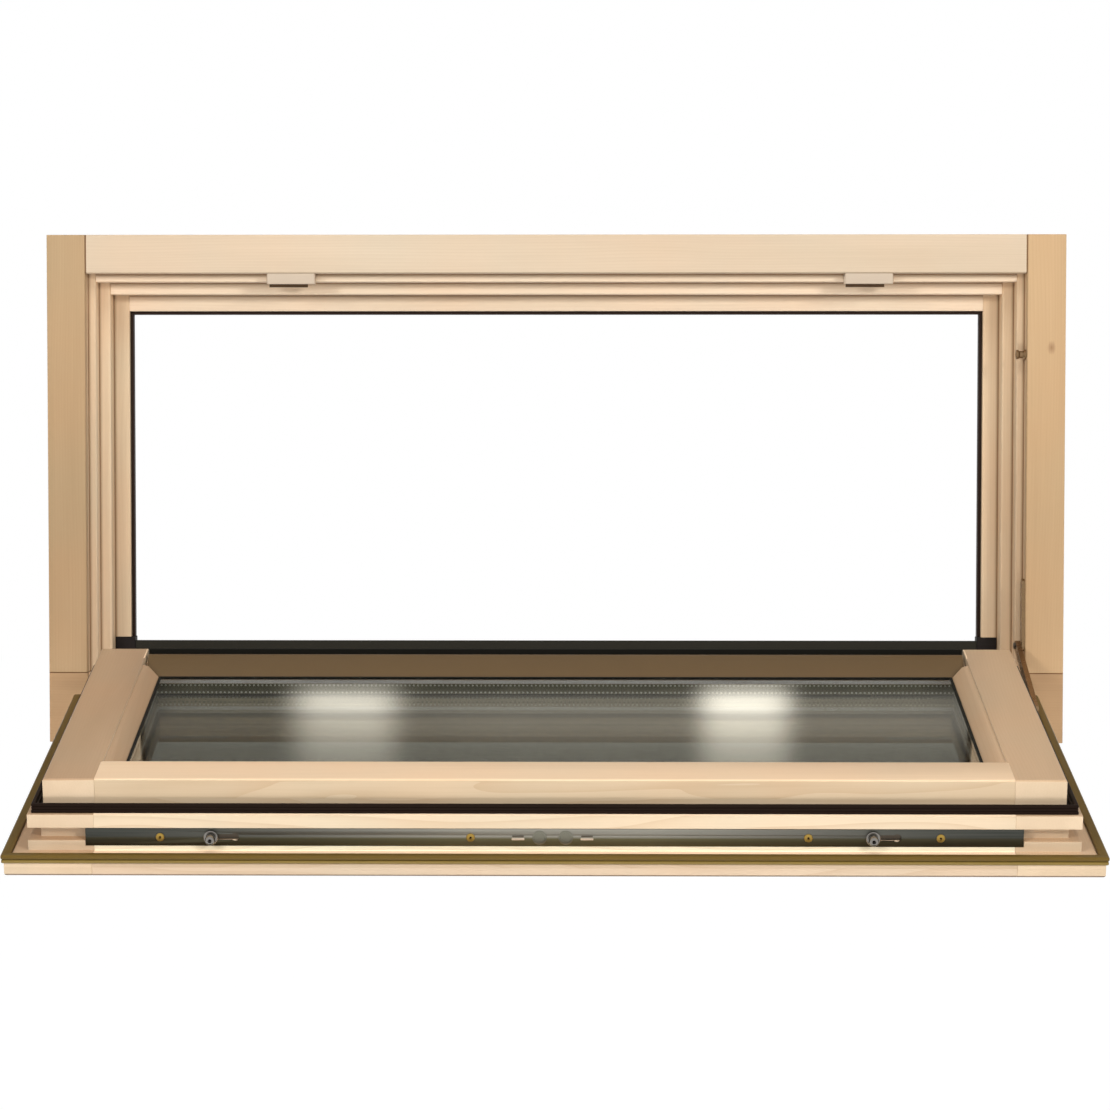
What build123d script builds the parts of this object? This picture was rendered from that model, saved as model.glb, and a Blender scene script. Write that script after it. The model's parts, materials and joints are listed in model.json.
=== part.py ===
from build123d import *
from math import atan2, cos, degrees, radians, sin, sqrt
import os

# A bottom-hung timber window with a triple-glazed sash that tips into the room.
# Millimetres. X runs along the sill, +Y points outdoors, +Z is up.
# The origin is the middle of the sill's underside, half-way through the frame.
# The sash is drawn tipped open, at the far end of its travel.

os.makedirs("parts", exist_ok=True)

# Frame: outside size, and how far each step of its rebate stands in from the outer edge
frame_width = 1200.0
frame_height = 600.0
frame_depth = 92.0
face_width = 45.5
groove_step = 20.0
groove_width = 55.0
seal_step = 45.0
seal_width = 69.0
lip_step = 72.0
lip_width = 88.0
sill_joint = 82.0
lip_foot = 120.0
arris = 2.0
metal_chamfer = 1.0

# Rain bar on the sill, and the blocks that close its ends
bar_height = 46.5
bar_wall = 2.5
bar_top = 6.0
bar_overhang = 9.0
bar_setback = 2.0
apron_wall = 1.5
bar_nose = 20.0
bar_slope = 32.0
cap_width = 24.0
trim_thickness = 4.0
trim_depth = 12.0

# Sash: outside size, thickness and the steps of its edge, measured from the flange
sash_overlap = 6.5
sash_thickness = 92.0
seat_gap = 5.0
flange_thickness = 20.0
gasket_step = 14.25
gasket_rebate = 7.0
hardware_inset = 22.0
ledge_step = 58.5
core_inset = 37.0
sash_arris = 3.0

# Glazing: three panes, two spacers and the moulding that holds them
glass_face = 75.0
pane_thickness = 4.0
pane_gap = 18.0
sight_width = 110.0
glazing_seal_width = 3.0
glazing_seal_height = 1.2
rebate_cover = 20.0
edge_clearance = 5.0
moulding_flat = 55.0
quirk_depth = 2.0
quirk_width = 1.2
moulding_bevel = 7.0
bevel_depth = 4.0
spacer_height = 7.0
spacer_setback = 5.0
bead_setback = 2.0
bead_bevel = 6.0
cut_margin = 1.0
block_length = 100.0

# Drip cover on the outer side of the sash's bottom rail
cover_foot = 3.0
cover_bed = 80.0
cover_wall = 2.0
cover_flat = 19.0
cover_crest = 6.0
cover_reach = 56.5
cover_gap = 3.0
edge_strip_width = 2.6

# Hinges: a knuckle in front of the sash's room face
hinge_lead = 9.0
hinge_drop = 8.0
knuckle_radius = 6.5
pin_radius = 3.0
pin_clearance = 0.1
hinge_inset = 131.0
knuckle_length = 26.0
knuckle_gap = 0.5
leaf_thickness = 3.0
leaf_height = 54.0
leaf_clearance = 1.0
leaf_start = 12.0
arm_thickness = 4.0
hinge_screw_radius = 2.6
open_angle = 103.0

# Lock: a plate with a sliding rod below it and two roller cams
lock_groove_depth = 12.0
lock_groove_width = 13.4
lock_groove_start = 30.6
lock_centre = 34.4
plate_setback = 81.5
plate_width = 18.6
plate_clearance = 0.3
insert_radius = 4.5
insert_reach = 24.5
plate_thickness = 2.2
rod_width = 11.0
rod_thickness = 3.0
rod_gap = 1.0
rod_setback = 29.5
left_cam_inset = 210.0
right_cam_inset = 235.0
cam_travel = 20.0
cam_neck_radius = 2.6
cam_collar_radius = 7.5
cam_collar_height = 3.0
cam_collar_gap = 0.3
cam_radius = 5.0
cam_reach = 12.0
cam_slack = 0.8
keep_length = 57.0
keep_depth = 17.7
keep_height = 12.0
left_keep_shift = 39.0
right_keep_shift = 43.0
keep_front_wall = 2.2
keep_slack = 0.6
keep_plate = 2.0
keep_screw_radius = 2.0
keep_screw_spacing = 36.0
gearbox_length = 150.0
gearbox_depth = 24.0
gearbox_width = 12.0
pocket_clearance = 1.0
handle_hole_radius = 8.0
rose_length = 74.0
rose_width = 30.0
rose_thickness = 11.5
rose_shift = -2.0
rose_chamfer = 2.0
spindle_size = 7.0

# Stay on the right-hand side: bracket on the jamb, arm, and track on the sash
stay_pivot_height = 115.0
stay_pivot_depth = 8.0
stay_length = 165.0
stay_arm_width = 12.0
stay_arm_thickness = 6.0
stay_gap = 1.0
bracket_thickness = 3.5
bracket_width = 13.0
bracket_top = 188.0
bracket_screw_inset = 2.0
stay_pin_radius = 2.5
stay_pin_end_gap = 0.5
track_length = 230.0
track_start = 60.0
track_wall = 1.5
track_base_width = 18.0
track_base = 1.2
track_height = 3.0
catch_drop = 141.0
catch_depth = 8.0
catch_radius = 6.0
catch_waist = 4.2
catch_length = 12.0

# Soft seals
outer_lip = 3.0
seal_lip_height = 3.5
mid_seal_width = 11.0
mid_seal_base = 4.0
mid_seal_height = 10.3
mid_seal_fin = 3.0

# Worked-out places
room_face = -frame_depth / 2
right_edge = frame_width / 2
sash_inset = face_width - sash_overlap
sash_width = frame_width - 2 * sash_inset
sash_height = frame_height - 2 * sash_inset
hinge_y = room_face - seat_gap - flange_thickness - hinge_lead
hinge_z = sash_inset - hinge_drop
rebate_inset = sight_width - rebate_cover
rebate_width = sash_width - 2 * rebate_inset
cover_top = core_inset + cover_reach
bottom_rebate = cover_top - rebate_cover
rebate_top = sash_height / 2 - rebate_inset
rebate_bottom = -sash_height / 2 + bottom_rebate
sight_bottom = -sash_height / 2 + cover_top
glazing_depth = 3 * pane_thickness + 2 * pane_gap
inner_glass_face = glass_face - glazing_depth
lock_level = sash_height / 2 - hardware_inset
groove_middle = lock_groove_start + lock_groove_width / 2
plate_length = sash_width - 2 * plate_setback
rod_length = plate_length - 2 * rod_setback
cam_places = (left_cam_inset - sash_width / 2, sash_width / 2 - right_cam_inset)
keep_places = (cam_places[0] + left_keep_shift, cam_places[1] + right_keep_shift)
hinge_place = sash_width / 2 - hinge_inset
catch_height = frame_height - catch_drop

# The hinge line with the sash tipped open, and the sash's room face seen from the room
swing = Plane(
    origin=(0, hinge_y, hinge_z),
    x_dir=(1, 0, 0),
    z_dir=(0, -cos(radians(open_angle)), -sin(radians(open_angle))),
)
sash_face = Plane(
    origin=swing.from_local_coords((0, hinge_drop + sash_height / 2, -hinge_lead)),
    x_dir=(1, 0, 0),
    z_dir=swing.z_dir,
)


def sash_level(depth):
    """The plane at a depth below the sash's room face, centred on the sash."""
    return sash_face.offset(-depth)


def jamb_outline(side, lip, rounding):
    """Section of a jamb seen from above, on the left (-1) or the right (1)."""
    inner_steps = [(face_width, 0), (face_width, groove_step)]
    inner_steps += [(groove_width, groove_step), (groove_width, seal_step)]
    inner_steps += [(seal_width, seal_step)]
    if lip:
        inner_steps += [(seal_width, lip_step), (lip_width, lip_step)]
        inner_steps += [(lip_width, frame_depth)]
    else:
        inner_steps += [(seal_width, frame_depth)]
    corners = [(0, 0)] + inner_steps + [(0, frame_depth)]
    points = [(side * (right_edge - inset), room_face + depth) for inset, depth in corners]
    with BuildSketch(Plane.XY) as outline:
        with BuildLine():
            Polyline(*points, close=True)
        make_face()
        if rounding:
            convex = [points[1], points[3], points[5]]
            rounded = [v for v in outline.vertices() if (v.X, v.Y) in convex]
            fillet(rounded, radius=rounding)
    return outline.sketch


def rail_outline(lip, rounding):
    """Section of the head (lip) or of the sill, drawn as the sill and seen from the left."""
    corners = [(0, 0), (0, face_width), (groove_step, face_width)]
    corners += [(groove_step, groove_width), (seal_step, groove_width)]
    corners += [(seal_step, seal_width)]
    if lip:
        corners += [(lip_step, seal_width), (lip_step, lip_width), (frame_depth, lip_width)]
    else:
        corners += [(frame_depth, seal_width)]
    corners += [(frame_depth, 0)]
    points = [(room_face + depth, inset) for depth, inset in corners]
    with BuildSketch(Plane.YZ) as outline:
        with BuildLine():
            Polyline(*points, close=True)
        make_face()
        if rounding:
            convex = [points[1], points[3], points[5]]
            rounded = [v for v in outline.vertices() if (v.X, v.Y) in convex]
            fillet(rounded, radius=rounding)
    return outline.sketch


def band(outer, inner):
    """A flat rectangular ring that stands in from the sash's edge by two distances."""
    with BuildSketch() as ring:
        Rectangle(sash_width - 2 * outer, sash_height - 2 * outer)
        Rectangle(sash_width - 2 * inner, sash_height - 2 * inner, mode=Mode.SUBTRACT)
    return ring.sketch


def daylight(inset):
    """The sash's clear opening at an inset, down to the top of the drip cover."""
    top = sash_height / 2 - inset
    with BuildSketch() as clear:
        with Locations((0, (top + sight_bottom) / 2)):
            Rectangle(sash_width - 2 * inset, top - sight_bottom)
    return clear.sketch


def finish(part, name):
    """Label a finished piece and write its file."""
    part.label = name
    export_step(part, f"parts/{name}.step")


# Frame: jambs run up past the head, and the sill runs through below them
cap_depth = frame_depth - lip_step
cap_middle = room_face + lip_step + cap_depth / 2
lip_middle = right_edge - (lip_width + seal_width) / 2
for side, hand in ((-1, "left"), (1, "right")):
    with BuildPart() as jamb:
        with BuildSketch(Plane.XY.offset(sill_joint)):
            add(jamb_outline(side, True, arris))
        extrude(amount=frame_height - sill_joint)
        with BuildSketch(Plane.XY.offset(sill_joint)):
            with Locations((side * lip_middle, cap_middle)):
                Rectangle(lip_width - seal_width, cap_depth)
        extrude(amount=lip_foot - sill_joint, mode=Mode.SUBTRACT)
    finish(jamb.part, f"frame_{hand}_jamb")

with BuildPart() as jamb_space:
    for side in (-1, 1):
        with BuildSketch(Plane.XY):
            add(jamb_outline(side, True, 0))
        extrude(amount=frame_height)

with BuildPart() as frame_head:
    extrude(rail_outline(True, arris), amount=right_edge, both=True)
    mirror(about=Plane.XY.offset(frame_height / 2), mode=Mode.REPLACE)
    add(jamb_space.part, mode=Mode.SUBTRACT)
finish(frame_head.part, "frame_head")

bar_back = room_face + lip_step + bar_setback
step_face = room_face + seal_step
with BuildPart() as apron:
    with BuildSketch(Plane.YZ):
        with BuildLine():
            Polyline(
                (step_face, groove_width),
                (step_face, seal_width),
                (bar_back + bar_wall, seal_width),
                (bar_back + bar_wall, seal_width - apron_wall),
                (step_face + apron_wall, seal_width - apron_wall),
                (step_face + apron_wall, groove_width),
                close=True,
            )
        make_face()
    extrude(amount=right_edge - seal_width, both=True)

with BuildPart() as frame_bottom_rail:
    extrude(rail_outline(False, 0), amount=right_edge, both=True)
    for side in (-1, 1):
        extrude(jamb_outline(side, False, 0), amount=sill_joint)
    add(apron.part, mode=Mode.SUBTRACT)
finish(frame_bottom_rail.part, "frame_bottom_rail")

# Rain bar with an apron let into the sill's step, end blocks and the dark trim on the lip
bar_front = room_face + frame_depth + bar_overhang
bar_crown = seal_width + bar_height
with BuildPart() as rain_bar:
    with BuildSketch(Plane.YZ):
        with BuildLine():
            Polyline(
                (bar_back, seal_width),
                (bar_back, bar_crown),
                (bar_back + bar_top, bar_crown),
                (bar_front, bar_crown - bar_slope),
                (bar_front, bar_crown - bar_slope - bar_nose),
                (bar_front - bar_wall, bar_crown - bar_slope - bar_nose),
                (bar_front - bar_wall, bar_crown - bar_slope - bar_wall / 2),
                (bar_back + bar_top - bar_wall / 2, bar_crown - bar_wall),
                (bar_back + bar_wall, bar_crown - bar_wall),
                (bar_back + bar_wall, seal_width + bar_wall),
                (room_face + frame_depth, seal_width + bar_wall),
                (room_face + frame_depth, seal_width),
                close=True,
            )
        make_face()
    extrude(amount=right_edge - seal_width - cap_width, both=True)
    add(apron.part)
finish(rain_bar.part, "rain_bar")

cap_across = right_edge - seal_width - cap_width / 2
for side, hand in ((-1, "left"), (1, "right")):
    with BuildPart() as cap:
        with BuildSketch(Plane.XY.offset(seal_width)):
            with Locations((side * cap_across, cap_middle)):
                Rectangle(cap_width, cap_depth)
        extrude(amount=lip_foot - seal_width)
        chamfer(cap.faces().sort_by(Axis.Y)[0].edges(), length=metal_chamfer)
    finish(cap.part, f"rain_bar_{hand}_cap")

opening_width = frame_width - 2 * lip_width
opening_height = frame_height - lip_width - lip_foot
with BuildPart() as opening_trim:
    with BuildSketch(Plane.XZ.offset(-(room_face + frame_depth))):
        with Locations((0, lip_foot + opening_height / 2)):
            Rectangle(opening_width, opening_height)
        with Locations((0, lip_foot + (opening_height - trim_thickness) / 2)):
            Rectangle(
                opening_width - 2 * trim_thickness,
                opening_height - trim_thickness,
                mode=Mode.SUBTRACT,
            )
    extrude(amount=trim_depth)
finish(opening_trim.part, "opening_trim")

# Sash stock: stepped edge, rounded arrises, glazing rebate and outer moulding
flat_edge = core_inset + moulding_flat
shoulder = flat_edge + moulding_bevel
shoulder_depth = sash_thickness - bevel_depth
quirk_level = sash_thickness - quirk_depth
mouldings = [
    (sash_thickness, flat_edge, quirk_level, flat_edge),
    (quirk_level, flat_edge + quirk_width, shoulder_depth, shoulder),
    (shoulder_depth, shoulder, glass_face, sight_width),
]
with BuildPart() as sash_stock:
    steps = [(0, gasket_step, 0), (gasket_step, flange_thickness, gasket_rebate)]
    steps += [(flange_thickness, ledge_step, hardware_inset), (ledge_step, sash_thickness, core_inset)]
    for start, end, inset in steps:
        with BuildSketch(sash_level(start)):
            Rectangle(sash_width - 2 * inset, sash_height - 2 * inset)
        extrude(amount=start - end)
    across = Axis(sash_face.origin, sash_face.z_dir)
    fillet(sash_stock.faces().sort_by(across)[-1].edges(), radius=sash_arris)
    fillet(sash_stock.faces().sort_by(across)[0].edges(), radius=sash_arris)
    with BuildSketch(sash_level(0)):
        with Locations((0, (rebate_top + rebate_bottom) / 2)):
            Rectangle(rebate_width, rebate_top - rebate_bottom)
    extrude(amount=-glass_face, mode=Mode.SUBTRACT)
    for upper, upper_inset, lower, lower_inset in mouldings:
        with BuildSketch(sash_level(upper)):
            add(daylight(upper_inset))
        with BuildSketch(sash_level(lower)):
            add(daylight(lower_inset))
        loft(mode=Mode.SUBTRACT)
    with BuildSketch(sash_level(sash_thickness)):
        with Locations((0, (sight_bottom - sash_height / 2 + core_inset) / 2)):
            Rectangle(sash_width - 2 * flat_edge, sight_bottom + sash_height / 2 - core_inset)
    extrude(amount=sash_thickness - cover_bed, mode=Mode.SUBTRACT)
    with BuildSketch(sash_level(cover_bed)):
        with Locations((0, (sight_bottom + rebate_bottom) / 2)):
            Rectangle(sash_width - 2 * flat_edge, sight_bottom - rebate_bottom)
    extrude(amount=cover_bed - glass_face, mode=Mode.SUBTRACT)
    groove_floor = lock_level - lock_groove_depth
    with BuildSketch(sash_level(lock_groove_start)):
        add(band(hardware_inset, hardware_inset + lock_groove_depth))
    extrude(amount=-lock_groove_width, mode=Mode.SUBTRACT)
    with BuildSketch(sash_level(lock_centre - plate_width / 2 - plate_clearance)):
        with Locations((0, lock_level - plate_thickness / 2)):
            Rectangle(plate_length + 2 * plate_clearance, plate_thickness)
    extrude(amount=-plate_width - 2 * plate_clearance, mode=Mode.SUBTRACT)
    with BuildSketch(sash_level(lock_centre - (gearbox_width + pocket_clearance) / 2)):
        with Locations((0, groove_floor - gearbox_depth / 2)):
            Rectangle(gearbox_length + 2 * pocket_clearance, gearbox_depth + 2 * pocket_clearance)
    extrude(amount=-gearbox_width - pocket_clearance, mode=Mode.SUBTRACT)
    with BuildSketch(sash_level(0)):
        with Locations((rose_shift, groove_floor - gearbox_depth / 2)):
            Circle(handle_hole_radius)
    extrude(amount=-lock_centre, mode=Mode.SUBTRACT)

# The stiles run from top to bottom, the rails sit between them, and the mouldings are mitred
mitre = rebate_cover + cut_margin
with BuildPart() as stile_space:
    for side in (-1, 1):
        with BuildSketch(sash_level(-cut_margin)):
            with BuildLine():
                Polyline(
                    (side * rebate_width / 2, sash_height),
                    (side * rebate_width / 2, rebate_top),
                    (side * (rebate_width / 2 - mitre), rebate_top - mitre),
                    (side * (rebate_width / 2 - mitre), rebate_bottom),
                    (side * rebate_width / 2, rebate_bottom),
                    (side * rebate_width / 2, -sash_height),
                    (side * sash_width, -sash_height),
                    (side * sash_width, sash_height),
                    close=True,
                )
            make_face()
        extrude(amount=-sash_thickness - 2 * cut_margin)

for keep_side, hand in ((Keep.TOP, "right"), (Keep.BOTTOM, "left")):
    with BuildPart() as stile:
        add(sash_stock.part)
        add(stile_space.part, mode=Mode.INTERSECT)
        split(bisect_by=Plane.YZ, keep=keep_side)
    finish(stile.part, f"sash_{hand}_stile")

across_sash = Plane(origin=sash_face.origin, x_dir=(1, 0, 0), z_dir=sash_face.y_dir)
for keep_side, end in ((Keep.TOP, "top"), (Keep.BOTTOM, "bottom")):
    with BuildPart() as rail:
        add(sash_stock.part)
        add(stile_space.part, mode=Mode.SUBTRACT)
        split(bisect_by=across_sash, keep=keep_side)
    finish(rail.part, f"sash_{end}_rail")


def along_sash(side_points):
    """A section across the sash's bottom rail, from (height above the flange, depth)."""
    return [(height - sash_height / 2, -depth) for height, depth in side_points]


# Drip cover: a folded section seen along the rail
section_plane = Plane(origin=sash_face.origin, x_dir=sash_face.y_dir, z_dir=(1, 0, 0))
crest_foot = core_inset + cover_foot + cover_flat
crest_top = crest_foot + cover_crest
with BuildPart() as drip_cover:
    with BuildSketch(section_plane):
        with BuildLine():
            Polyline(
                *along_sash(
                    [
                        (cover_top, glass_face),
                        (crest_top, sash_thickness),
                        (crest_foot, sash_thickness),
                        (crest_foot, cover_bed + cover_wall),
                        (core_inset + cover_foot, cover_bed + cover_wall),
                        (core_inset + cover_foot, cover_bed),
                        (crest_foot + cover_wall, cover_bed),
                        (crest_foot + cover_wall, sash_thickness - cover_wall),
                        (crest_top - cover_wall / 3, sash_thickness - cover_wall),
                        (cover_top - 2 * cover_wall, glass_face),
                    ]
                ),
                close=True,
            )
        make_face()
    extrude(amount=sash_width / 2 - flat_edge - cover_gap, both=True)
finish(drip_cover.part, "sash_drip_cover")

# Dark strip along the bottom rail's outer edge, behind the drip cover's foot
with BuildPart() as edge_strip:
    with BuildSketch(sash_level(sash_thickness)):
        with Locations((0, core_inset + edge_strip_width / 2 - sash_height / 2)):
            Rectangle(sash_width - 2 * flat_edge - cover_gap, edge_strip_width)
    extrude(amount=sash_thickness - cover_bed)
finish(edge_strip.part, "sash_edge_strip")

# Three panes, two spacers between them and the blocks that they stand on
pane_width = rebate_width - 2 * edge_clearance
pane_height = rebate_top - rebate_bottom - 2 * edge_clearance
pane_middle = (rebate_top + rebate_bottom) / 2
for number, name in enumerate(("outer", "middle", "inner")):
    with BuildPart() as pane:
        with BuildSketch(sash_level(glass_face - number * (pane_thickness + pane_gap))):
            with Locations((0, pane_middle)):
                Rectangle(pane_width, pane_height)
        extrude(amount=pane_thickness)
    finish(pane.part, f"{name}_pane")

for number, name in enumerate(("outer", "inner")):
    with BuildPart() as spacer:
        with BuildSketch(sash_level(glass_face - pane_thickness - number * (pane_thickness + pane_gap))):
            with Locations((0, pane_middle)):
                Rectangle(pane_width - 2 * spacer_setback, pane_height - 2 * spacer_setback)
                rim = spacer_setback + spacer_height
                Rectangle(pane_width - 2 * rim, pane_height - 2 * rim, mode=Mode.SUBTRACT)
        extrude(amount=pane_gap)
    finish(spacer.part, f"{name}_spacer")

# Dark seal on the outer pane, along the moulding and the drip cover
seal_bottom = sight_bottom + glazing_seal_width
with BuildPart() as glazing_seal:
    with BuildSketch(sash_level(glass_face)):
        add(daylight(sight_width))
        with Locations((0, (sash_height / 2 - sight_width - glazing_seal_width + seal_bottom) / 2)):
            Rectangle(
                sash_width - 2 * (sight_width + glazing_seal_width),
                sash_height / 2 - sight_width - glazing_seal_width - seal_bottom,
                mode=Mode.SUBTRACT,
            )
    extrude(amount=-glazing_seal_height)
finish(glazing_seal.part, "glazing_seal")

block_level = rebate_bottom + edge_clearance / 2
with BuildPart() as setting_blocks:
    with BuildSketch(sash_level(inner_glass_face)):
        with Locations(*[(side * pane_width / 3, block_level) for side in (-1, 1)]):
            Rectangle(block_length, edge_clearance)
    extrude(amount=-glazing_depth)
finish(setting_blocks.part, "setting_blocks")

# Room-side beads, mitred at the corners
with BuildPart() as bead_ring:
    with BuildSketch(sash_level(bead_setback)):
        with Locations((0, pane_middle)):
            Rectangle(rebate_width, rebate_top - rebate_bottom)
            Rectangle(
                rebate_width - 2 * rebate_cover,
                rebate_top - rebate_bottom - 2 * rebate_cover,
                mode=Mode.SUBTRACT,
            )
    extrude(amount=bead_setback - inner_glass_face)
    front = bead_ring.faces().sort_by(across)[-1]
    chamfer(front.inner_wires()[0].edges(), length=bead_bevel)

half_wide = rebate_width / 2
half_tall = (rebate_top - rebate_bottom) / 2
ridge = half_wide - half_tall
wedges = {
    "top": [(-half_wide, half_tall), (half_wide, half_tall), (ridge, 0), (-ridge, 0)],
    "right": [(half_wide, half_tall), (half_wide, -half_tall), (ridge, 0)],
    "bottom": [(half_wide, -half_tall), (-half_wide, -half_tall), (-ridge, 0), (ridge, 0)],
    "left": [(-half_wide, -half_tall), (-half_wide, half_tall), (-ridge, 0)],
}
for name, corners in wedges.items():
    with BuildPart() as bead:
        with BuildSketch(sash_level(0)):
            with Locations((0, pane_middle)):
                with BuildLine():
                    Polyline(*[(x, y + pane_middle) for x, y in corners], close=True)
                make_face()
        extrude(amount=-sash_thickness)
        add(bead_ring.part, mode=Mode.INTERSECT)
    finish(bead.part, f"{name}_glazing_bead")

# Seals around the sash
with BuildPart() as overlap_gasket:
    with BuildSketch(sash_level(gasket_step)):
        add(band(-outer_lip, gasket_rebate))
    extrude(amount=gasket_step - flange_thickness)
    with BuildSketch(sash_level(flange_thickness)):
        add(band(-outer_lip, outer_lip))
    extrude(amount=-seal_lip_height)
finish(overlap_gasket.part, "overlap_gasket")

with BuildPart() as mid_gasket:
    with BuildSketch(sash_level(ledge_step)):
        add(band(core_inset - mid_seal_width, core_inset))
    extrude(amount=-mid_seal_base)
    with BuildSketch(sash_level(ledge_step + mid_seal_base)):
        add(band(core_inset - mid_seal_width, core_inset - mid_seal_width + mid_seal_fin))
    extrude(amount=mid_seal_base - mid_seal_height)
finish(mid_gasket.part, "mid_gasket")

# Lock: faceplate in the groove, gearbox below it, rod between them, cams through the plate
lock_face = Plane(
    origin=sash_face.from_local_coords((0, lock_level, -lock_centre)),
    x_dir=(1, 0, 0),
    z_dir=sash_face.y_dir,
)
slot_width = 2 * (cam_neck_radius + cam_slack)
with BuildPart() as lock_faceplate:
    with BuildSketch(lock_face):
        Rectangle(plate_length, plate_width)
        with Locations(*[(place + cam_travel / 2, 0) for place in cam_places]):
            SlotCenterToCenter(cam_travel, slot_width, mode=Mode.SUBTRACT)
        with Locations(*[(place + insert_reach, 0) for place in cam_places]):
            Circle(insert_radius, mode=Mode.SUBTRACT)
    extrude(amount=-plate_thickness)
finish(lock_faceplate.part, "lock_faceplate")

rod_level = plate_thickness + rod_gap
with BuildPart() as drive_rod:
    with BuildSketch(lock_face.offset(-rod_level)):
        with Locations((-cam_travel / 2, groove_middle - lock_centre)):
            Rectangle(rod_length, rod_width)
    extrude(amount=-rod_thickness)
finish(drive_rod.part, "drive_rod")

for place, hand in zip(cam_places, ("left", "right")):
    with BuildPart() as cam:
        with BuildSketch(lock_face.offset(-rod_level)):
            with Locations((place, 0)):
                Circle(cam_neck_radius)
        extrude(amount=rod_level + cam_collar_height)
        with BuildSketch(lock_face.offset(cam_collar_gap)):
            with Locations((place, 0)):
                Circle(cam_collar_radius)
        extrude(amount=cam_collar_height - cam_collar_gap)
        with BuildSketch(lock_face.offset(cam_collar_height)):
            with Locations((place, 0)):
                Circle(cam_radius)
        extrude(amount=cam_reach - cam_collar_height)
        top = cam.faces().sort_by(Axis(lock_face.origin, lock_face.z_dir))[-1]
        chamfer(top.edges(), length=metal_chamfer)
    finish(cam.part, f"{hand}_lock_cam")

with BuildPart() as gearbox:
    with BuildSketch(lock_face.offset(pocket_clearance - lock_groove_depth)):
        Rectangle(gearbox_length, gearbox_width)
    extrude(amount=-gearbox_depth)
    with BuildSketch(sash_level(lock_centre - gearbox_width / 2)):
        with Locations((rose_shift, groove_floor - gearbox_depth / 2)):
            Rectangle(spindle_size, spindle_size)
    extrude(amount=-gearbox_width, mode=Mode.SUBTRACT)
finish(gearbox.part, "lock_gearbox")

with BuildPart() as handle_rose:
    with BuildSketch(sash_face):
        with Locations((rose_shift, groove_floor - gearbox_depth / 2)):
            RectangleRounded(rose_length, rose_width, radius=rose_width / 4)
    extrude(amount=rose_thickness)
    chamfer(handle_rose.faces().sort_by(across)[-1].edges(), length=rose_chamfer)
    with BuildSketch(sash_face):
        with Locations((rose_shift, groove_floor - gearbox_depth / 2)):
            Rectangle(spindle_size, spindle_size)
    extrude(amount=rose_thickness, mode=Mode.SUBTRACT)
finish(handle_rose.part, "handle_rose")

# Keeps on the head: a channel for the roller, open below and at its left end
head_wall = frame_height - face_width
cam_line = room_face - seat_gap - flange_thickness + lock_centre
channel_front = cam_line - cam_radius - keep_slack
channel_back = cam_line + cam_radius + keep_slack
keep_front = channel_front - keep_front_wall
for place, hand in zip(keep_places, ("left", "right")):
    with BuildPart() as strike:
        with BuildSketch(Plane.XY.offset(head_wall)):
            with Locations((place, keep_front + keep_depth / 2)):
                Rectangle(keep_length, keep_depth)
        extrude(amount=-keep_height)
        chamfer(strike.edges().filter_by(Axis.Z), length=metal_chamfer)
        with BuildSketch(Plane.XY.offset(head_wall - keep_plate)):
            with Locations((place - keep_front_wall, cam_line)):
                Rectangle(keep_length, channel_back - channel_front)
        extrude(amount=-keep_height, mode=Mode.SUBTRACT)
        with Locations(Plane.XY.offset(head_wall)):
            with Locations((place, cam_line)):
                with GridLocations(keep_screw_spacing, keep_screw_spacing, 2, 1):
                    Hole(keep_screw_radius, depth=2 * keep_plate)
    finish(strike.part, f"{hand}_keep")

# Hinges: frame leaf with the middle knuckle and the pin, sash leaf with the outer two
leaf_length = 3 * knuckle_length + 2 * knuckle_gap
outer_knuckle = knuckle_length + knuckle_gap
frame_leaf_height = hinge_z - arm_thickness - leaf_clearance
frame_leaf_middle = hinge_z - frame_leaf_height / 2
for side, hand in ((-1, "left"), (1, "right")):
    centre = side * hinge_place
    axle = Plane(origin=(centre, hinge_y, hinge_z), x_dir=(0, 1, 0), z_dir=(1, 0, 0))
    with BuildPart() as frame_leaf:
        with BuildSketch(axle):
            Circle(knuckle_radius)
            with Locations((-hinge_y / 2 + room_face / 2, -arm_thickness / 2)):
                Rectangle(room_face - hinge_y, arm_thickness)
        extrude(amount=knuckle_length / 2, both=True)
        with BuildSketch(Plane.XZ.offset(-room_face)):
            with Locations((centre, frame_leaf_middle)):
                Rectangle(leaf_length, frame_leaf_height)
                with GridLocations(2 * leaf_length / 3, leaf_height, 2, 1):
                    Circle(hinge_screw_radius, mode=Mode.SUBTRACT)
        extrude(amount=leaf_thickness)
        with BuildSketch(axle):
            Circle(pin_radius)
        extrude(amount=leaf_length / 2, both=True)
    finish(frame_leaf.part, f"{hand}_hinge_frame_leaf")

    with BuildPart() as sash_leaf:
        with BuildSketch(swing.offset(-hinge_lead)):
            with Locations((centre, leaf_start + leaf_height / 2)):
                Rectangle(leaf_length, leaf_height)
                with GridLocations(2 * leaf_length / 3, leaf_height / 2, 2, 2):
                    Circle(hinge_screw_radius, mode=Mode.SUBTRACT)
            with Locations((centre, leaf_start / 2)):
                with GridLocations(2 * outer_knuckle, leaf_start, 2, 1):
                    Rectangle(knuckle_length, leaf_start)
        extrude(amount=leaf_thickness)
        for shift in (-outer_knuckle, outer_knuckle):
            with BuildSketch(axle.offset(shift)):
                Circle(knuckle_radius)
            extrude(amount=knuckle_length / 2, both=True)
        with BuildSketch(axle):
            Circle(pin_radius + pin_clearance)
        extrude(amount=leaf_length, both=True, mode=Mode.SUBTRACT)
    finish(sash_leaf.part, f"{hand}_hinge_sash_leaf")

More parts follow.
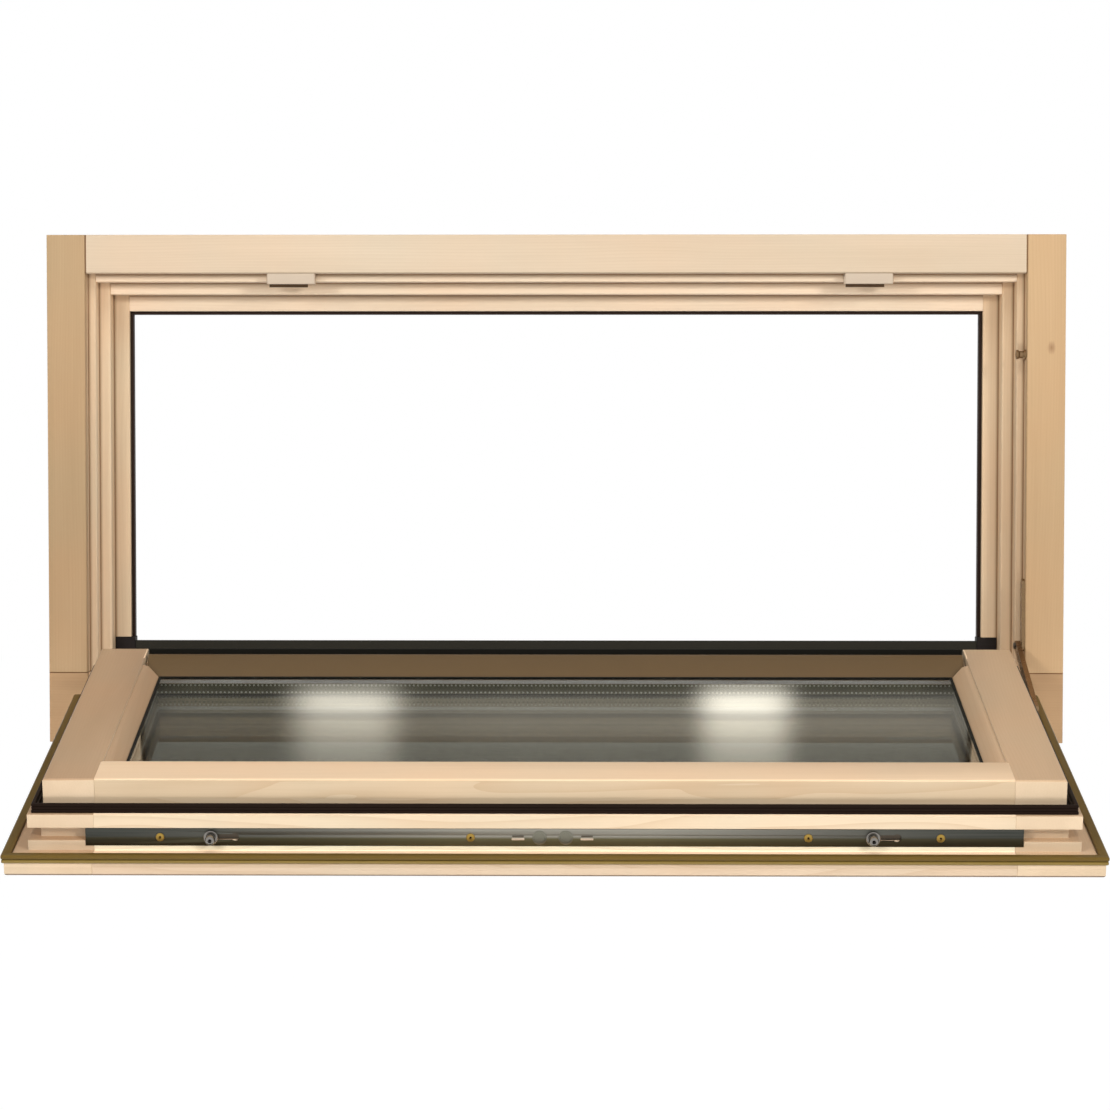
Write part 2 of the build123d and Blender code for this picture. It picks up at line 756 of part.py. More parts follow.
# Stay: bracket on the right jamb, arm that turns on it, track along the sash's edge
jamb_wall = right_edge - face_width
stay_y = room_face + stay_pivot_depth
pivot_local = swing.to_local_coords(Vector(0, stay_y, stay_pivot_height))
track_level = -hinge_lead - groove_middle
reach = sqrt(stay_length**2 - (pivot_local.Z - track_level) ** 2)
tip_local = (0, pivot_local.Y + reach, track_level)
tip = swing.from_local_coords(tip_local)
arm_angle = degrees(atan2(tip.Z - stay_pivot_height, tip.Y - stay_y)) % 360
print("stay arm turns", arm_angle - 90, "degrees from closed to open")
jamb_side = Plane(origin=(jamb_wall, 0, 0), x_dir=(0, 1, 0), z_dir=(1, 0, 0))
arm_outside = jamb_wall - bracket_thickness - stay_gap
arm_inside = arm_outside - stay_arm_thickness
track_outside = sash_width / 2 - hardware_inset + track_height

with BuildPart() as stay_bracket:
    with BuildSketch(jamb_side):
        with Locations((stay_y, (stay_pivot_height + bracket_top) / 2)):
            SlotOverall(bracket_top - stay_pivot_height + bracket_width, bracket_width, rotation=90)
        for height in (bracket_top - bracket_screw_inset, stay_pivot_height + 2 * bracket_width):
            with Locations((stay_y, height)):
                Circle(hinge_screw_radius, mode=Mode.SUBTRACT)
    extrude(amount=-bracket_thickness)
    with BuildSketch(jamb_side.offset(-bracket_thickness)):
        with Locations((stay_y, stay_pivot_height)):
            Circle(stay_pin_radius)
    extrude(amount=-stay_gap - stay_arm_thickness)
finish(stay_bracket.part, "stay_bracket")

with BuildPart() as stay_arm:
    arm_plane = Plane(
        origin=(arm_outside, stay_y, stay_pivot_height),
        x_dir=(0, cos(radians(arm_angle)), sin(radians(arm_angle))),
        z_dir=(1, 0, 0),
    )
    with BuildSketch(arm_plane):
        with Locations((stay_length / 2, 0)):
            SlotCenterToCenter(stay_length, stay_arm_width)
        Circle(stay_pin_radius + pin_clearance, mode=Mode.SUBTRACT)
    extrude(amount=-stay_arm_thickness)
    with BuildSketch(arm_plane.offset(-stay_arm_thickness)):
        with Locations((stay_length, 0)):
            Circle(stay_pin_radius)
    extrude(amount=track_outside + stay_pin_end_gap - arm_inside)
finish(stay_arm.part, "stay_arm")

track_face = Plane(
    origin=swing.from_local_coords((sash_width / 2 - hardware_inset, hinge_drop, track_level)),
    x_dir=sash_face.y_dir,
    z_dir=(1, 0, 0),
)
track_width = 2 * (stay_pin_radius + cam_slack + track_wall)
channel_length = track_length - track_base_width + track_width - 2 * track_wall
with BuildPart() as stay_track:
    with BuildSketch(track_face):
        with Locations((track_start + track_length / 2, 0)):
            SlotOverall(track_length, track_base_width)
    extrude(amount=track_base)
    with BuildSketch(track_face):
        with Locations((track_start + track_length / 2, 0)):
            SlotOverall(track_length - track_base_width + track_width, track_width)
    extrude(amount=track_height)
    with BuildSketch(track_face.offset(track_height)):
        with Locations((track_start + track_length / 2, 0)):
            SlotOverall(channel_length, track_width - 2 * track_wall)
    extrude(amount=track_base - track_height, mode=Mode.SUBTRACT)
finish(stay_track.part, "stay_track")

with BuildPart() as catch_pin:
    with BuildSketch(jamb_side):
        with Locations((room_face + catch_depth, catch_height)):
            Circle(catch_radius)
    extrude(amount=-catch_length)
    with BuildSketch(jamb_side.offset(-catch_length / 3)):
        with Locations((room_face + catch_depth, catch_height)):
            Circle(catch_radius)
            Circle(catch_waist, mode=Mode.SUBTRACT)
    extrude(amount=-catch_length / 3, mode=Mode.SUBTRACT)
finish(catch_pin.part, "stay_catch_pin")
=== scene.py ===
"""A bottom-hung timber window, tipped open, dressed with its finishes for a studio picture."""

import json
import math

import bpy
from mathutils import Matrix, Vector

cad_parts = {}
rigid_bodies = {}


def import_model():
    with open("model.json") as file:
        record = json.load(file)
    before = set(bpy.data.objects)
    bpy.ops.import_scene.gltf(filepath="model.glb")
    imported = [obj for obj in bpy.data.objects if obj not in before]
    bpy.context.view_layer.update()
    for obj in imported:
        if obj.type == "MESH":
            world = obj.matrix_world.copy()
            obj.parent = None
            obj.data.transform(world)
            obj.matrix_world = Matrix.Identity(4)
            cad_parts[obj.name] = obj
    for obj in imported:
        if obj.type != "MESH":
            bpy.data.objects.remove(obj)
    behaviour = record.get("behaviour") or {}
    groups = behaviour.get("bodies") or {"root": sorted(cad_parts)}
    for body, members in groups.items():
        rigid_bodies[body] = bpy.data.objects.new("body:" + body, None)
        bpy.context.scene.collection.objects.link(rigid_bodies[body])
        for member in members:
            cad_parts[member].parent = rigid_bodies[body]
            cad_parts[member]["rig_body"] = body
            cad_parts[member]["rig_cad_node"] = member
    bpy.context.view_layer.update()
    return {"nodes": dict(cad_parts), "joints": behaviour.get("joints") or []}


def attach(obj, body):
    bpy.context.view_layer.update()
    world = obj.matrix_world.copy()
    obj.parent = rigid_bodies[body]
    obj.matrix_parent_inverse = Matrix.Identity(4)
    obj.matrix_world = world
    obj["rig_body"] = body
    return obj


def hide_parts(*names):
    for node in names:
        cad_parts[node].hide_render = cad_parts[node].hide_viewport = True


bl_info = {
    "name": "Tipped timber window",
    "version": (1, 0, 0),
    "blender": (4, 5, 0),
    "location": "View3D > Sidebar > Window",
    "description": "Finishes, small hardware and studio for a bottom-hung timber window",
    "category": "Object",
}

MM = 0.001

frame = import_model()
nodes = frame["nodes"]
tilt_joint = next(joint for joint in frame["joints"] if joint["name"] == "sash_tilt")
hinge_line = Vector(tilt_joint["pos_m"])
open_angle = math.radians(tilt_joint["range_deg"][1])

# The sash's own directions while it is tipped open
sash_up = Vector((0, -math.sin(open_angle), math.cos(open_angle)))
sash_out = Vector((0, math.cos(open_angle), math.sin(open_angle)))

# Places on the sash: X along the sill, Y up the sash from the hinge line, Z towards the room
sash_place = Matrix.Translation(hinge_line) @ Matrix(
    (Vector((1, 0, 0)), sash_up, -sash_out)).transposed().to_4x4()
lock_turn = Matrix.Rotation(-math.pi / 2, 4, "X")

# Sizes that the window's part was built with, in metres
SASH_LEAD = 9.0 * MM
SASH_LOW = 8.0 * MM
SASH_WIDE = 1122.0 * MM
SASH_TALL = 522.0 * MM
HARDWARE_LEVEL = SASH_LOW + SASH_TALL - 22.0 * MM
LOCK_DEPTH = 34.4 * MM
CAM_PLACES = (-351.0 * MM, 326.0 * MM)
JAMB_WALL = 554.5 * MM
FRAME_ROOM_FACE = -46.0 * MM
FRAME_TALL = 600.0 * MM
FRAME_HALF = 600.0 * MM
SASH_ROOM_FACE = -71.0 * MM
STAY_DEPTH = -38.0 * MM
CATCH_HEIGHT = 459.0 * MM
PIVOT_HEIGHT = 115.0 * MM
HINGE_PLACE = 430.0
LEAF_LENGTH = 79.0

# Finish of the wood, in metres: glued boards, the frame's face toned with painted light and shade, joint
# lines, and painted shade in recesses and along the sash's arris
BOARD_THICK = 30.7 * MM
FACE_DEEP = 12.0 * MM
SEAM_HALF = 0.7 * MM
POCKET_DEEP = 10.0 * MM
ARRIS_SHADE = (2.6 * MM, 1.6 * MM)

# The spacers' rows of holes, as depth from the sash's room face, and their pitch and radius
HOLE_ROWS = (64.6, 56.2, 44.4)
HOLE_PITCH = 4.8 * MM
HOLE_RADIUS = 1.15 * MM
SEALANT_DEPTH = -17.4 * MM

# The frame's inner corners, as depth from its room face and distance in from its outer edge,
# and how far the painted shade in each of them reaches
CORNERS = ((0.0, 45.5, 0.8), (20.0, 45.5, 2.4), (45.0, 55.0, 2.2), (72.0, 69.0, 2.4))


def sash_spot(across, up, depth):
    """A place on the sash, with the depth measured from its room face."""
    return sash_place @ Matrix.Translation((across, up, -SASH_LEAD - depth))


def lock_spot(across, raised=0.0, deeper=0.0):
    """A place on the lock's faceplate, with Z pointing out of it."""
    return sash_spot(across, HARDWARE_LEVEL + raised, LOCK_DEPTH + deeper) @ lock_turn


def colour(red, green, blue):
    """A linear colour from the 0 to 255 values that a screen shows."""
    channels = []
    for value in (red, green, blue):
        share = value / 255
        channels.append(share / 12.92 if share <= 0.04045 else ((share + 0.055) / 1.055) ** 2.4)
    return (*channels, 1.0)


# Sizes and colours that a user would change

class WoodSettings(bpy.types.PropertyGroup):
    light: bpy.props.FloatVectorProperty(
        name="Early wood", description="Colour of the pale wood between the rings",
        subtype="COLOR", size=4, default=colour(226, 199, 168))
    dark: bpy.props.FloatVectorProperty(
        name="Late wood", description="Colour of the darker lines of the rings",
        subtype="COLOR", size=4, default=colour(205, 170, 134))
    ring_spacing: bpy.props.FloatProperty(
        name="Ring spacing", description="Distance between growth rings",
        subtype="DISTANCE", default=3.4 * MM)
    arris: bpy.props.FloatProperty(
        name="Arris", description="Rounding of the sharp wooden edges",
        subtype="DISTANCE", default=0.5 * MM)


class StudioSettings(bpy.types.PropertyGroup):
    floor_drop: bpy.props.FloatProperty(
        name="Floor drop", description="How far the floor lies under the sill",
        subtype="DISTANCE", default=1.5)
    camera_back: bpy.props.FloatProperty(
        name="Camera distance", description="From the middle of the frame to the camera",
        subtype="DISTANCE", default=3.93)
    camera_height: bpy.props.FloatProperty(
        name="Camera height", description="Above the sill's underside",
        subtype="DISTANCE", default=0.4084)
    camera_pitch: bpy.props.FloatProperty(
        name="Camera pitch", description="Downward tilt of the camera",
        subtype="ANGLE", default=math.radians(2.74))
    camera_side: bpy.props.FloatProperty(
        name="Camera offset", description="From the window's middle to the right",
        subtype="DISTANCE", default=0.010)
    camera_turn: bpy.props.FloatProperty(
        name="Camera turn", description="Turn of the camera to the left",
        subtype="ANGLE", default=math.radians(0.8))
    camera_shift: bpy.props.FloatProperty(
        name="Camera shift", description="Sideways lens shift that brings the window back to the middle",
        default=0.0335)
    lens: bpy.props.FloatProperty(
        name="Lens", description="Focal length in millimetres on a 36 mm sensor", default=106.7)


# Material helpers

def node(tree, kind, settings=None, **inputs):
    """Add a shader node. Inputs are given by name, with _ for a space, as values or sockets."""
    made = tree.nodes.new(kind)
    for key, value in (settings or {}).items():
        setattr(made, key, value)
    for key, value in inputs.items():
        socket = made.inputs[key.replace("_", " ")]
        if isinstance(value, bpy.types.NodeSocket):
            tree.links.new(value, socket)
        else:
            socket.default_value = value
    return made


def calculate(tree, operation, first, second=0.0, clamp=False):
    """A Math node's result. Either value may be a number or a socket."""
    made = tree.nodes.new("ShaderNodeMath")
    made.operation = operation
    made.use_clamp = clamp
    for socket, value in zip(made.inputs, (first, second)):
        if isinstance(value, bpy.types.NodeSocket):
            tree.links.new(value, socket)
        else:
            socket.default_value = value
    return made.outputs[0]


def blend(tree, share, first, second, mode="MIX"):
    """Mix two colours, each a colour or a socket, by a share."""
    made = tree.nodes.new("ShaderNodeMix")
    made.data_type = "RGBA"
    made.blend_type = mode
    for index, value in ((0, share), (6, first), (7, second)):
        if isinstance(value, bpy.types.NodeSocket):
            tree.links.new(value, made.inputs[index])
        else:
            made.inputs[index].default_value = value
    return made.outputs[2]


def tinted(tree, share, base, tint):
    """A colour, multiplied by a tint where the share is one."""
    return blend(tree, share, base, blend(tree, 1.0, base, (*tint, 1.0), "MULTIPLY"))


def close_to(tree, value, middle, half):
    """One where a value is within half a width of the middle."""
    gap = calculate(tree, "ABSOLUTE", calculate(tree, "SUBTRACT", value, middle))
    return calculate(tree, "LESS_THAN", gap, half)


def between(tree, value, low, high, least=0.0, most=1.0):
    """A value that runs from least to most while the given one runs from low to high."""
    made = node(tree, "ShaderNodeMapRange", Value=value)
    for name, number in (("From Min", low), ("From Max", high), ("To Min", least), ("To Max", most)):
        made.inputs[name].default_value = number
    return made.outputs[0]


def mix_shaders(tree, share, first, second):
    """Mix two shaders by a share, and give the result to the tree's output."""
    mixed = tree.nodes.new("ShaderNodeMixShader")
    for socket, value in zip(mixed.inputs, (share, first.outputs[0], second.outputs[0])):
        tree.links.new(value, socket)
    output = next(made for made in tree.nodes if made.type.startswith("OUTPUT"))
    tree.links.new(mixed.outputs[0], output.inputs[0])


def blank_material(name):
    """A material with only its output and a Principled shader."""
    made = bpy.data.materials.new(name)
    made.use_nodes = True
    tree = made.node_tree
    tree.nodes.clear()
    shader = tree.nodes.new("ShaderNodeBsdfPrincipled")
    output = tree.nodes.new("ShaderNodeOutputMaterial")
    tree.links.new(shader.outputs[0], output.inputs[0])
    return made, tree, shader


def shut_position(tree, on_sash):
    """Object coordinates, turned back to the shut window for what rides on the sash."""
    place = tree.nodes.new("ShaderNodeTexCoord").outputs["Object"]
    if not on_sash:
        return place
    turned = node(tree, "ShaderNodeVectorRotate", {"rotation_type": "X_AXIS"},
                  Vector=place, Center=hinge_line, Angle=-open_angle)
    return turned.outputs[0]


def corner_shade(tree, parts, run, depth):
    """Painted shade: how dark the frame is made near its inner corners."""
    if run == "X":
        half = FRAME_TALL / 2
        reach = calculate(tree, "ABSOLUTE", calculate(tree, "SUBTRACT", parts.outputs["Z"], half))
    else:
        half = FRAME_HALF
        reach = calculate(tree, "ABSOLUTE", parts.outputs["X"])
    inset = calculate(tree, "SUBTRACT", half, reach)
    shade = 0.0
    for deep, wide, size in CORNERS:
        down = calculate(tree, "SUBTRACT", depth, FRAME_ROOM_FACE + deep * MM)
        side = calculate(tree, "SUBTRACT", inset, wide * MM)
        span = calculate(tree, "ADD", calculate(tree, "MULTIPLY", down, down),
                         calculate(tree, "MULTIPLY", side, side))
        fall = calculate(tree, "EXPONENT", calculate(tree, "MULTIPLY", span, -1 / (size * MM) ** 2))
        shade = calculate(tree, "ADD", shade, calculate(tree, "MULTIPLY", fall, 0.9), clamp=True)
    return shade


def softwood(name, run, on_sash=False, seed=0.0, tint=(1, 1, 1), face=None, knots=(), layers=(),
             painted_pocket_shade=(), figure=0.35, corners=True, seam=None):
    """Clear-varnished softwood with its grain along X or Z of the shut window.

    The frame's room-side board, or the sash's outer face, can have a tone of its own, which is painted
    light and shade for how light falls on that face. Layers give a glued board, from a depth on,
    another tone than the one before it; these tones also hold painted light and shade.
    Pocket shade is painted shade: dark patches at recesses, given by middle across, middle height, and half
    of each size.
    Figure is the strength of the rings. Seam is the place along the grain of a dark joint line.
    """
    settings = bpy.context.scene.window_wood
    made, tree, shader = blank_material(name)
    place = shut_position(tree, on_sash)
    parts = node(tree, "ShaderNodeSeparateXYZ", Vector=place)
    along = parts.outputs["X" if run == "X" else "Z"]
    across = parts.outputs["Z" if run == "X" else "X"]
    depth = parts.outputs["Y"]

    # Three glued layers through the depth, each from another board
    layer = calculate(tree, "FLOOR", calculate(tree, "DIVIDE", depth, BOARD_THICK))
    board = node(tree, "ShaderNodeTexWhiteNoise", {"noise_dimensions": "1D"},
                 W=calculate(tree, "ADD", layer, seed + 0.37))
    shift = calculate(tree, "MULTIPLY", board.outputs["Value"], 0.6)

    # Growth rings round a pith well outside the member, wandering slowly along the grain
    sway_place = node(tree, "ShaderNodeCombineXYZ", X=calculate(tree, "MULTIPLY", across, 9.0),
                      Y=calculate(tree, "MULTIPLY", depth, 9.0),
                      Z=calculate(tree, "MULTIPLY", along, 1.6))
    sway = node(tree, "ShaderNodeTexNoise", {"noise_dimensions": "4D"},
                Vector=sway_place.outputs[0], W=calculate(tree, "ADD", shift, seed),
                Scale=1.0, Detail=2.0, Roughness=0.45)
    sway_size = calculate(tree, "MULTIPLY", calculate(tree, "SUBTRACT", sway.outputs["Fac"], 0.5), 0.05)
    ring_place = node(
        tree, "ShaderNodeCombineXYZ",
        X=calculate(tree, "ADD", calculate(tree, "ADD", across, sway_size),
                    calculate(tree, "ADD", shift, 0.11)),
        Y=calculate(tree, "ADD", depth, calculate(tree, "SUBTRACT", shift, 0.21)),
        Z=0.0)
    ring_scale = 2 * math.pi / (20 * settings.ring_spacing)
    rings = node(tree, "ShaderNodeTexWave",
                 {"wave_type": "RINGS", "rings_direction": "Z", "wave_profile": "SAW"},
                 Vector=ring_place.outputs[0], Scale=ring_scale, Distortion=1.2, Detail=2.0,
                 Detail_Scale=0.4)
    late = calculate(tree, "POWER", rings.outputs["Fac"], 3.0)

    # The rings stay faint on sawn ends
    normal = tree.nodes.new("ShaderNodeTexCoord").outputs["Normal"]
    if on_sash:
        normal = node(tree, "ShaderNodeVectorRotate", {"rotation_type": "X_AXIS"},
                      Vector=normal, Angle=-open_angle).outputs[0]
    turn = node(tree, "ShaderNodeSeparateXYZ", Vector=normal)
    facing = turn.outputs["X" if run == "X" else "Z"]
    sawn = calculate(tree, "GREATER_THAN", calculate(tree, "ABSOLUTE", facing), 0.7)
    kept = calculate(tree, "SUBTRACT", 1.0, calculate(tree, "MULTIPLY", sawn, 0.7))
    late = calculate(tree, "MULTIPLY", late, kept)

    # Fine fibres and broad patches of tone
    fibre_place = node(tree, "ShaderNodeCombineXYZ", X=calculate(tree, "MULTIPLY", across, 900.0),
                       Y=calculate(tree, "MULTIPLY", depth, 900.0),
                       Z=calculate(tree, "MULTIPLY", along, 9.0))
    fibre = node(tree, "ShaderNodeTexNoise", Vector=fibre_place.outputs[0], Scale=1.0, Detail=3.0)
    patch_place = node(tree, "ShaderNodeCombineXYZ", X=calculate(tree, "MULTIPLY", across, 22.0),
                       Y=calculate(tree, "MULTIPLY", depth, 22.0),
                       Z=calculate(tree, "MULTIPLY", along, 2.2))
    patch = node(tree, "ShaderNodeTexNoise", {"noise_dimensions": "4D"},
                 Vector=patch_place.outputs[0], W=seed + 3.0, Scale=1.0, Detail=3.0)

    light = [channel * share for channel, share in zip(settings.light, tint)] + [1.0]
    dark = [channel * share for channel, share in zip(settings.dark, tint)] + [1.0]
    strength = calculate(tree, "MULTIPLY", late, calculate(tree, "MULTIPLY", patch.outputs["Fac"], figure))
    wood = blend(tree, strength, light, dark)
    fibre_tone = calculate(tree, "ADD", calculate(tree, "MULTIPLY", fibre.outputs["Fac"], 0.10), 0.95)
    board_tone = calculate(tree, "ADD", calculate(tree, "MULTIPLY", board.outputs["Value"], 0.10), 0.95)
    patch_tone = calculate(tree, "ADD", calculate(tree, "MULTIPLY", patch.outputs["Fac"], 0.26), 0.87)
    tone = calculate(tree, "MULTIPLY", calculate(tree, "MULTIPLY", fibre_tone, board_tone), patch_tone)
    tone_colour = node(tree, "ShaderNodeCombineColor", Red=tone,
                       Green=calculate(tree, "POWER", tone, 1.15), Blue=calculate(tree, "POWER", tone, 1.4))
    wood = blend(tree, 1.0, wood, tone_colour.outputs[0], "MULTIPLY")
    drift = node(tree, "ShaderNodeTexNoise", Vector=place, Scale=7.0, Detail=2.0)
    cast = blend(tree, drift.outputs["Fac"], (1.07, 0.985, 0.92, 1.0), (0.95, 1.015, 1.03, 1.0))
    wood = blend(tree, 1.0, wood, cast, "MULTIPLY")
    # The layer tones hold painted light and shade for how light falls on the rail's faces
    for start, layer_tone in layers:
        beyond = calculate(tree, "GREATER_THAN", depth, start * MM)
        wood = tinted(tree, beyond, wood, layer_tone)
    # Painted light and shade: the face tone brightens or darkens one face for how light falls on it
    if face:
        toned = calculate(tree, "LESS_THAN", depth, FRAME_ROOM_FACE + FACE_DEEP)
        if on_sash:
            toned = calculate(tree, "GREATER_THAN", turn.outputs["Y"], 0.5)
        wood = tinted(tree, toned, wood, face)

    # Painted shade along the sash's room-side arris, and in the frame's inner corners
    if on_sash:
        # Painted shade on the sash's room-side arris, darkest towards the room face
        arris = between(tree, depth, *(SASH_ROOM_FACE + reach for reach in ARRIS_SHADE))
        edge = calculate(tree, "LESS_THAN", calculate(tree, "ABSOLUTE", turn.outputs["Y"]), 0.8)
        wood = tinted(tree, calculate(tree, "MULTIPLY", arris, edge), wood, (0.24, 0.20, 0.17))
    elif corners:
        wood = tinted(tree, corner_shade(tree, parts, run, depth), wood, (0.28, 0.18, 0.09))
    if seam:
        line = close_to(tree, calculate(tree, "ABSOLUTE", along), seam * MM, SEAM_HALF)
        wood = tinted(tree, line, wood, (0.34, 0.24, 0.16))
    # Painted shade: dark patches on the head under the keeps, where the gap under each keep lies in shade
    for middle, level, half_wide, half_tall in painted_pocket_shade:
        within = calculate(
            tree, "MULTIPLY", close_to(tree, parts.outputs["X"], middle * MM, half_wide * MM),
            close_to(tree, parts.outputs["Z"], level * MM, half_tall * MM))
        deep = close_to(tree, depth, 0.0, POCKET_DEEP)
        wood = blend(tree, calculate(tree, "MULTIPLY", within, deep), wood, colour(92, 70, 46))

    # Small knots at chosen places
    for spot, size, stretch in knots:
        offset = node(tree, "ShaderNodeVectorMath", {"operation": "SUBTRACT"})
        tree.links.new(place, offset.inputs[0])
        offset.inputs[1].default_value = spot
        squeezed = node(tree, "ShaderNodeVectorMath", {"operation": "MULTIPLY"})
        tree.links.new(offset.outputs[0], squeezed.inputs[0])
        squeezed.inputs[1].default_value = stretch
        length = node(tree, "ShaderNodeVectorMath", {"operation": "LENGTH"})
        tree.links.new(squeezed.outputs[0], length.inputs[0])
        ragged = calculate(tree, "ADD", length.outputs["Value"],
                           calculate(tree, "MULTIPLY", fibre.outputs["Fac"], size * 0.5))
        inside = calculate(tree, "SUBTRACT", 1.0, calculate(tree, "DIVIDE", ragged, size), clamp=True)
        wood = blend(tree, calculate(tree, "MULTIPLY", inside, 0.9), wood, colour(126, 84, 52))
    tree.links.new(wood, shader.inputs["Base Color"])

    rough = calculate(tree, "ADD", calculate(tree, "MULTIPLY", fibre.outputs["Fac"], 0.14), 0.36)
    tree.links.new(rough, shader.inputs["Roughness"])
    shader.inputs["Specular IOR Level"].default_value = 0.35
    relief = calculate(tree, "ADD", calculate(tree, "MULTIPLY", fibre.outputs["Fac"], 0.7),
                       calculate(tree, "MULTIPLY", late, 0.3))
    bump = node(tree, "ShaderNodeBump", Strength=0.16, Distance=0.25 * MM, Height=relief)
    tree.links.new(bump.outputs[0], shader.inputs["Normal"])
    return made


def speckled(name, base, rough, metal=0.0, spread=0.12, grain=600.0, level=0.5):
    """A plain finish whose colour and gloss vary finely: metal, lacquer, plastic or rubber."""
    made, tree, shader = blank_material(name)
    place = tree.nodes.new("ShaderNodeTexCoord").outputs["Object"]
    fine = node(tree, "ShaderNodeTexNoise", Vector=place, Scale=grain, Detail=2.0)
    broad = node(tree, "ShaderNodeTexNoise", Vector=place, Scale=grain / 25, Detail=3.0)
    mixed = calculate(tree, "ADD", calculate(tree, "MULTIPLY", fine.outputs["Fac"], 0.4),
                      calculate(tree, "MULTIPLY", broad.outputs["Fac"], 0.6))
    darker = [channel * (1 - spread) for channel in base[:3]] + [1.0]
    lighter = [min(1.0, channel * (1 + spread)) for channel in base[:3]] + [1.0]
    tree.links.new(blend(tree, mixed, darker, lighter), shader.inputs["Base Color"])
    shader.inputs["Metallic"].default_value = metal
    shader.inputs["Specular IOR Level"].default_value = level
    tree.links.new(calculate(tree, "ADD", calculate(tree, "MULTIPLY", mixed, 0.16), rough - 0.08),
                   shader.inputs["Roughness"])
    bump = node(tree, "ShaderNodeBump", Strength=0.12, Distance=0.1 * MM, Height=fine.outputs["Fac"])
    tree.links.new(bump.outputs[0], shader.inputs["Normal"])
    return made


def faceplate_metal(name):
    """Zinc plate with painted light on it: a painted reflection brightens its middle, and painted shade makes
    it dark and bluish towards its ends and dark olive along its room-side edge.
    """
    made, tree, shader = blank_material(name)
    place = shut_position(tree, True)
    parts = node(tree, "ShaderNodeSeparateXYZ", Vector=place)
    streak_place = node(tree, "ShaderNodeMapping", Vector=place, Scale=(6.0, 400.0, 1.0))
    streaks = node(tree, "ShaderNodeTexNoise", Vector=streak_place.outputs[0], Scale=1.0, Detail=3.0)
    # Painted reflection: a bright band along the plate's middle, fading to painted shade at its ends
    reach = calculate(tree, "DIVIDE", parts.outputs["X"], 0.30)
    square = calculate(tree, "MULTIPLY", reach, reach)
    middle = calculate(tree, "EXPONENT", calculate(tree, "MULTIPLY", square, -1.5))
    middle = calculate(tree, "ADD", middle, calculate(tree, "MULTIPLY", streaks.outputs["Fac"], 0.25))
    upper = blend(tree, middle, colour(36, 41, 38), colour(156, 153, 142))
    # Painted shade along the room-side edge: a duller, more olive strip
    lower = blend(tree, middle, colour(56, 52, 40), colour(112, 106, 78))
    edge = between(tree, parts.outputs["Y"], -38.0 * MM, -35.5 * MM)
    tree.links.new(blend(tree, edge, lower, upper), shader.inputs["Base Color"])
    shader.inputs["Metallic"].default_value = 0.85
    tree.links.new(calculate(tree, "ADD", calculate(tree, "MULTIPLY", streaks.outputs["Fac"], 0.2), 0.22),
                   shader.inputs["Roughness"])
    return made


def perforated(name):
    """Bright spacer with rows of fine holes, a dark line of sealant and a painted highlight along its outer
    edge, all of them drawn on.
    """
    made, tree, shader = blank_material(name)
    place = shut_position(tree, True)
    parts = node(tree, "ShaderNodeSeparateXYZ", Vector=place)
    facing = node(tree, "ShaderNodeSeparateXYZ",
                  Vector=tree.nodes.new("ShaderNodeTexCoord").outputs["Normal"])
    sideways = calculate(tree, "GREATER_THAN", calculate(tree, "ABSOLUTE", facing.outputs["X"]), 0.7)
    along = calculate(tree, "ADD", calculate(tree, "MULTIPLY", parts.outputs["Z"], sideways),
                      calculate(tree, "MULTIPLY", parts.outputs["X"],
                                calculate(tree, "SUBTRACT", 1.0, sideways)))
    share = calculate(tree, "FRACT", calculate(tree, "DIVIDE", along, HOLE_PITCH))
    step = calculate(tree, "MULTIPLY", calculate(tree, "SUBTRACT", share, 0.5), HOLE_PITCH)
    holes = 0.0
    for row in HOLE_ROWS:
        offset = calculate(tree, "SUBTRACT", parts.outputs["Y"], row * MM + SASH_ROOM_FACE)
        span = calculate(tree, "SQRT", calculate(tree, "ADD", calculate(tree, "MULTIPLY", step, step),
                                                 calculate(tree, "MULTIPLY", offset, offset)))
        dot = calculate(tree, "LESS_THAN", span, HOLE_RADIUS)
        holes = calculate(tree, "ADD", holes, dot, clamp=True)
    fine = node(tree, "ShaderNodeTexNoise", Vector=place, Scale=40.0, Detail=3.0)
    # Painted highlight: a pale bluish line along the spacer's outermost edge
    outermost = between(tree, parts.outputs["Y"], -4.6 * MM, -3.6 * MM)
    metal = blend(tree, fine.outputs["Fac"], colour(104, 101, 90), colour(158, 154, 136))
    inner = calculate(tree, "LESS_THAN", parts.outputs["Y"], -20.0 * MM)
    metal = blend(tree, inner, metal, colour(205, 192, 170))
    metal = blend(tree, outermost, metal, colour(228, 236, 252))
    holes = blend(tree, holes, metal, blend(tree, inner, colour(232, 232, 224), colour(90, 84, 70)))
    # The sealant shows as a dark line beside the middle pane
    line = close_to(tree, parts.outputs["Y"], SEALANT_DEPTH, 0.8 * MM)
    tree.links.new(blend(tree, line, holes, colour(20, 18, 14)), shader.inputs["Base Color"])
    shader.inputs["Metallic"].default_value = 0.8
    shader.inputs["Roughness"].default_value = 0.32
    return made


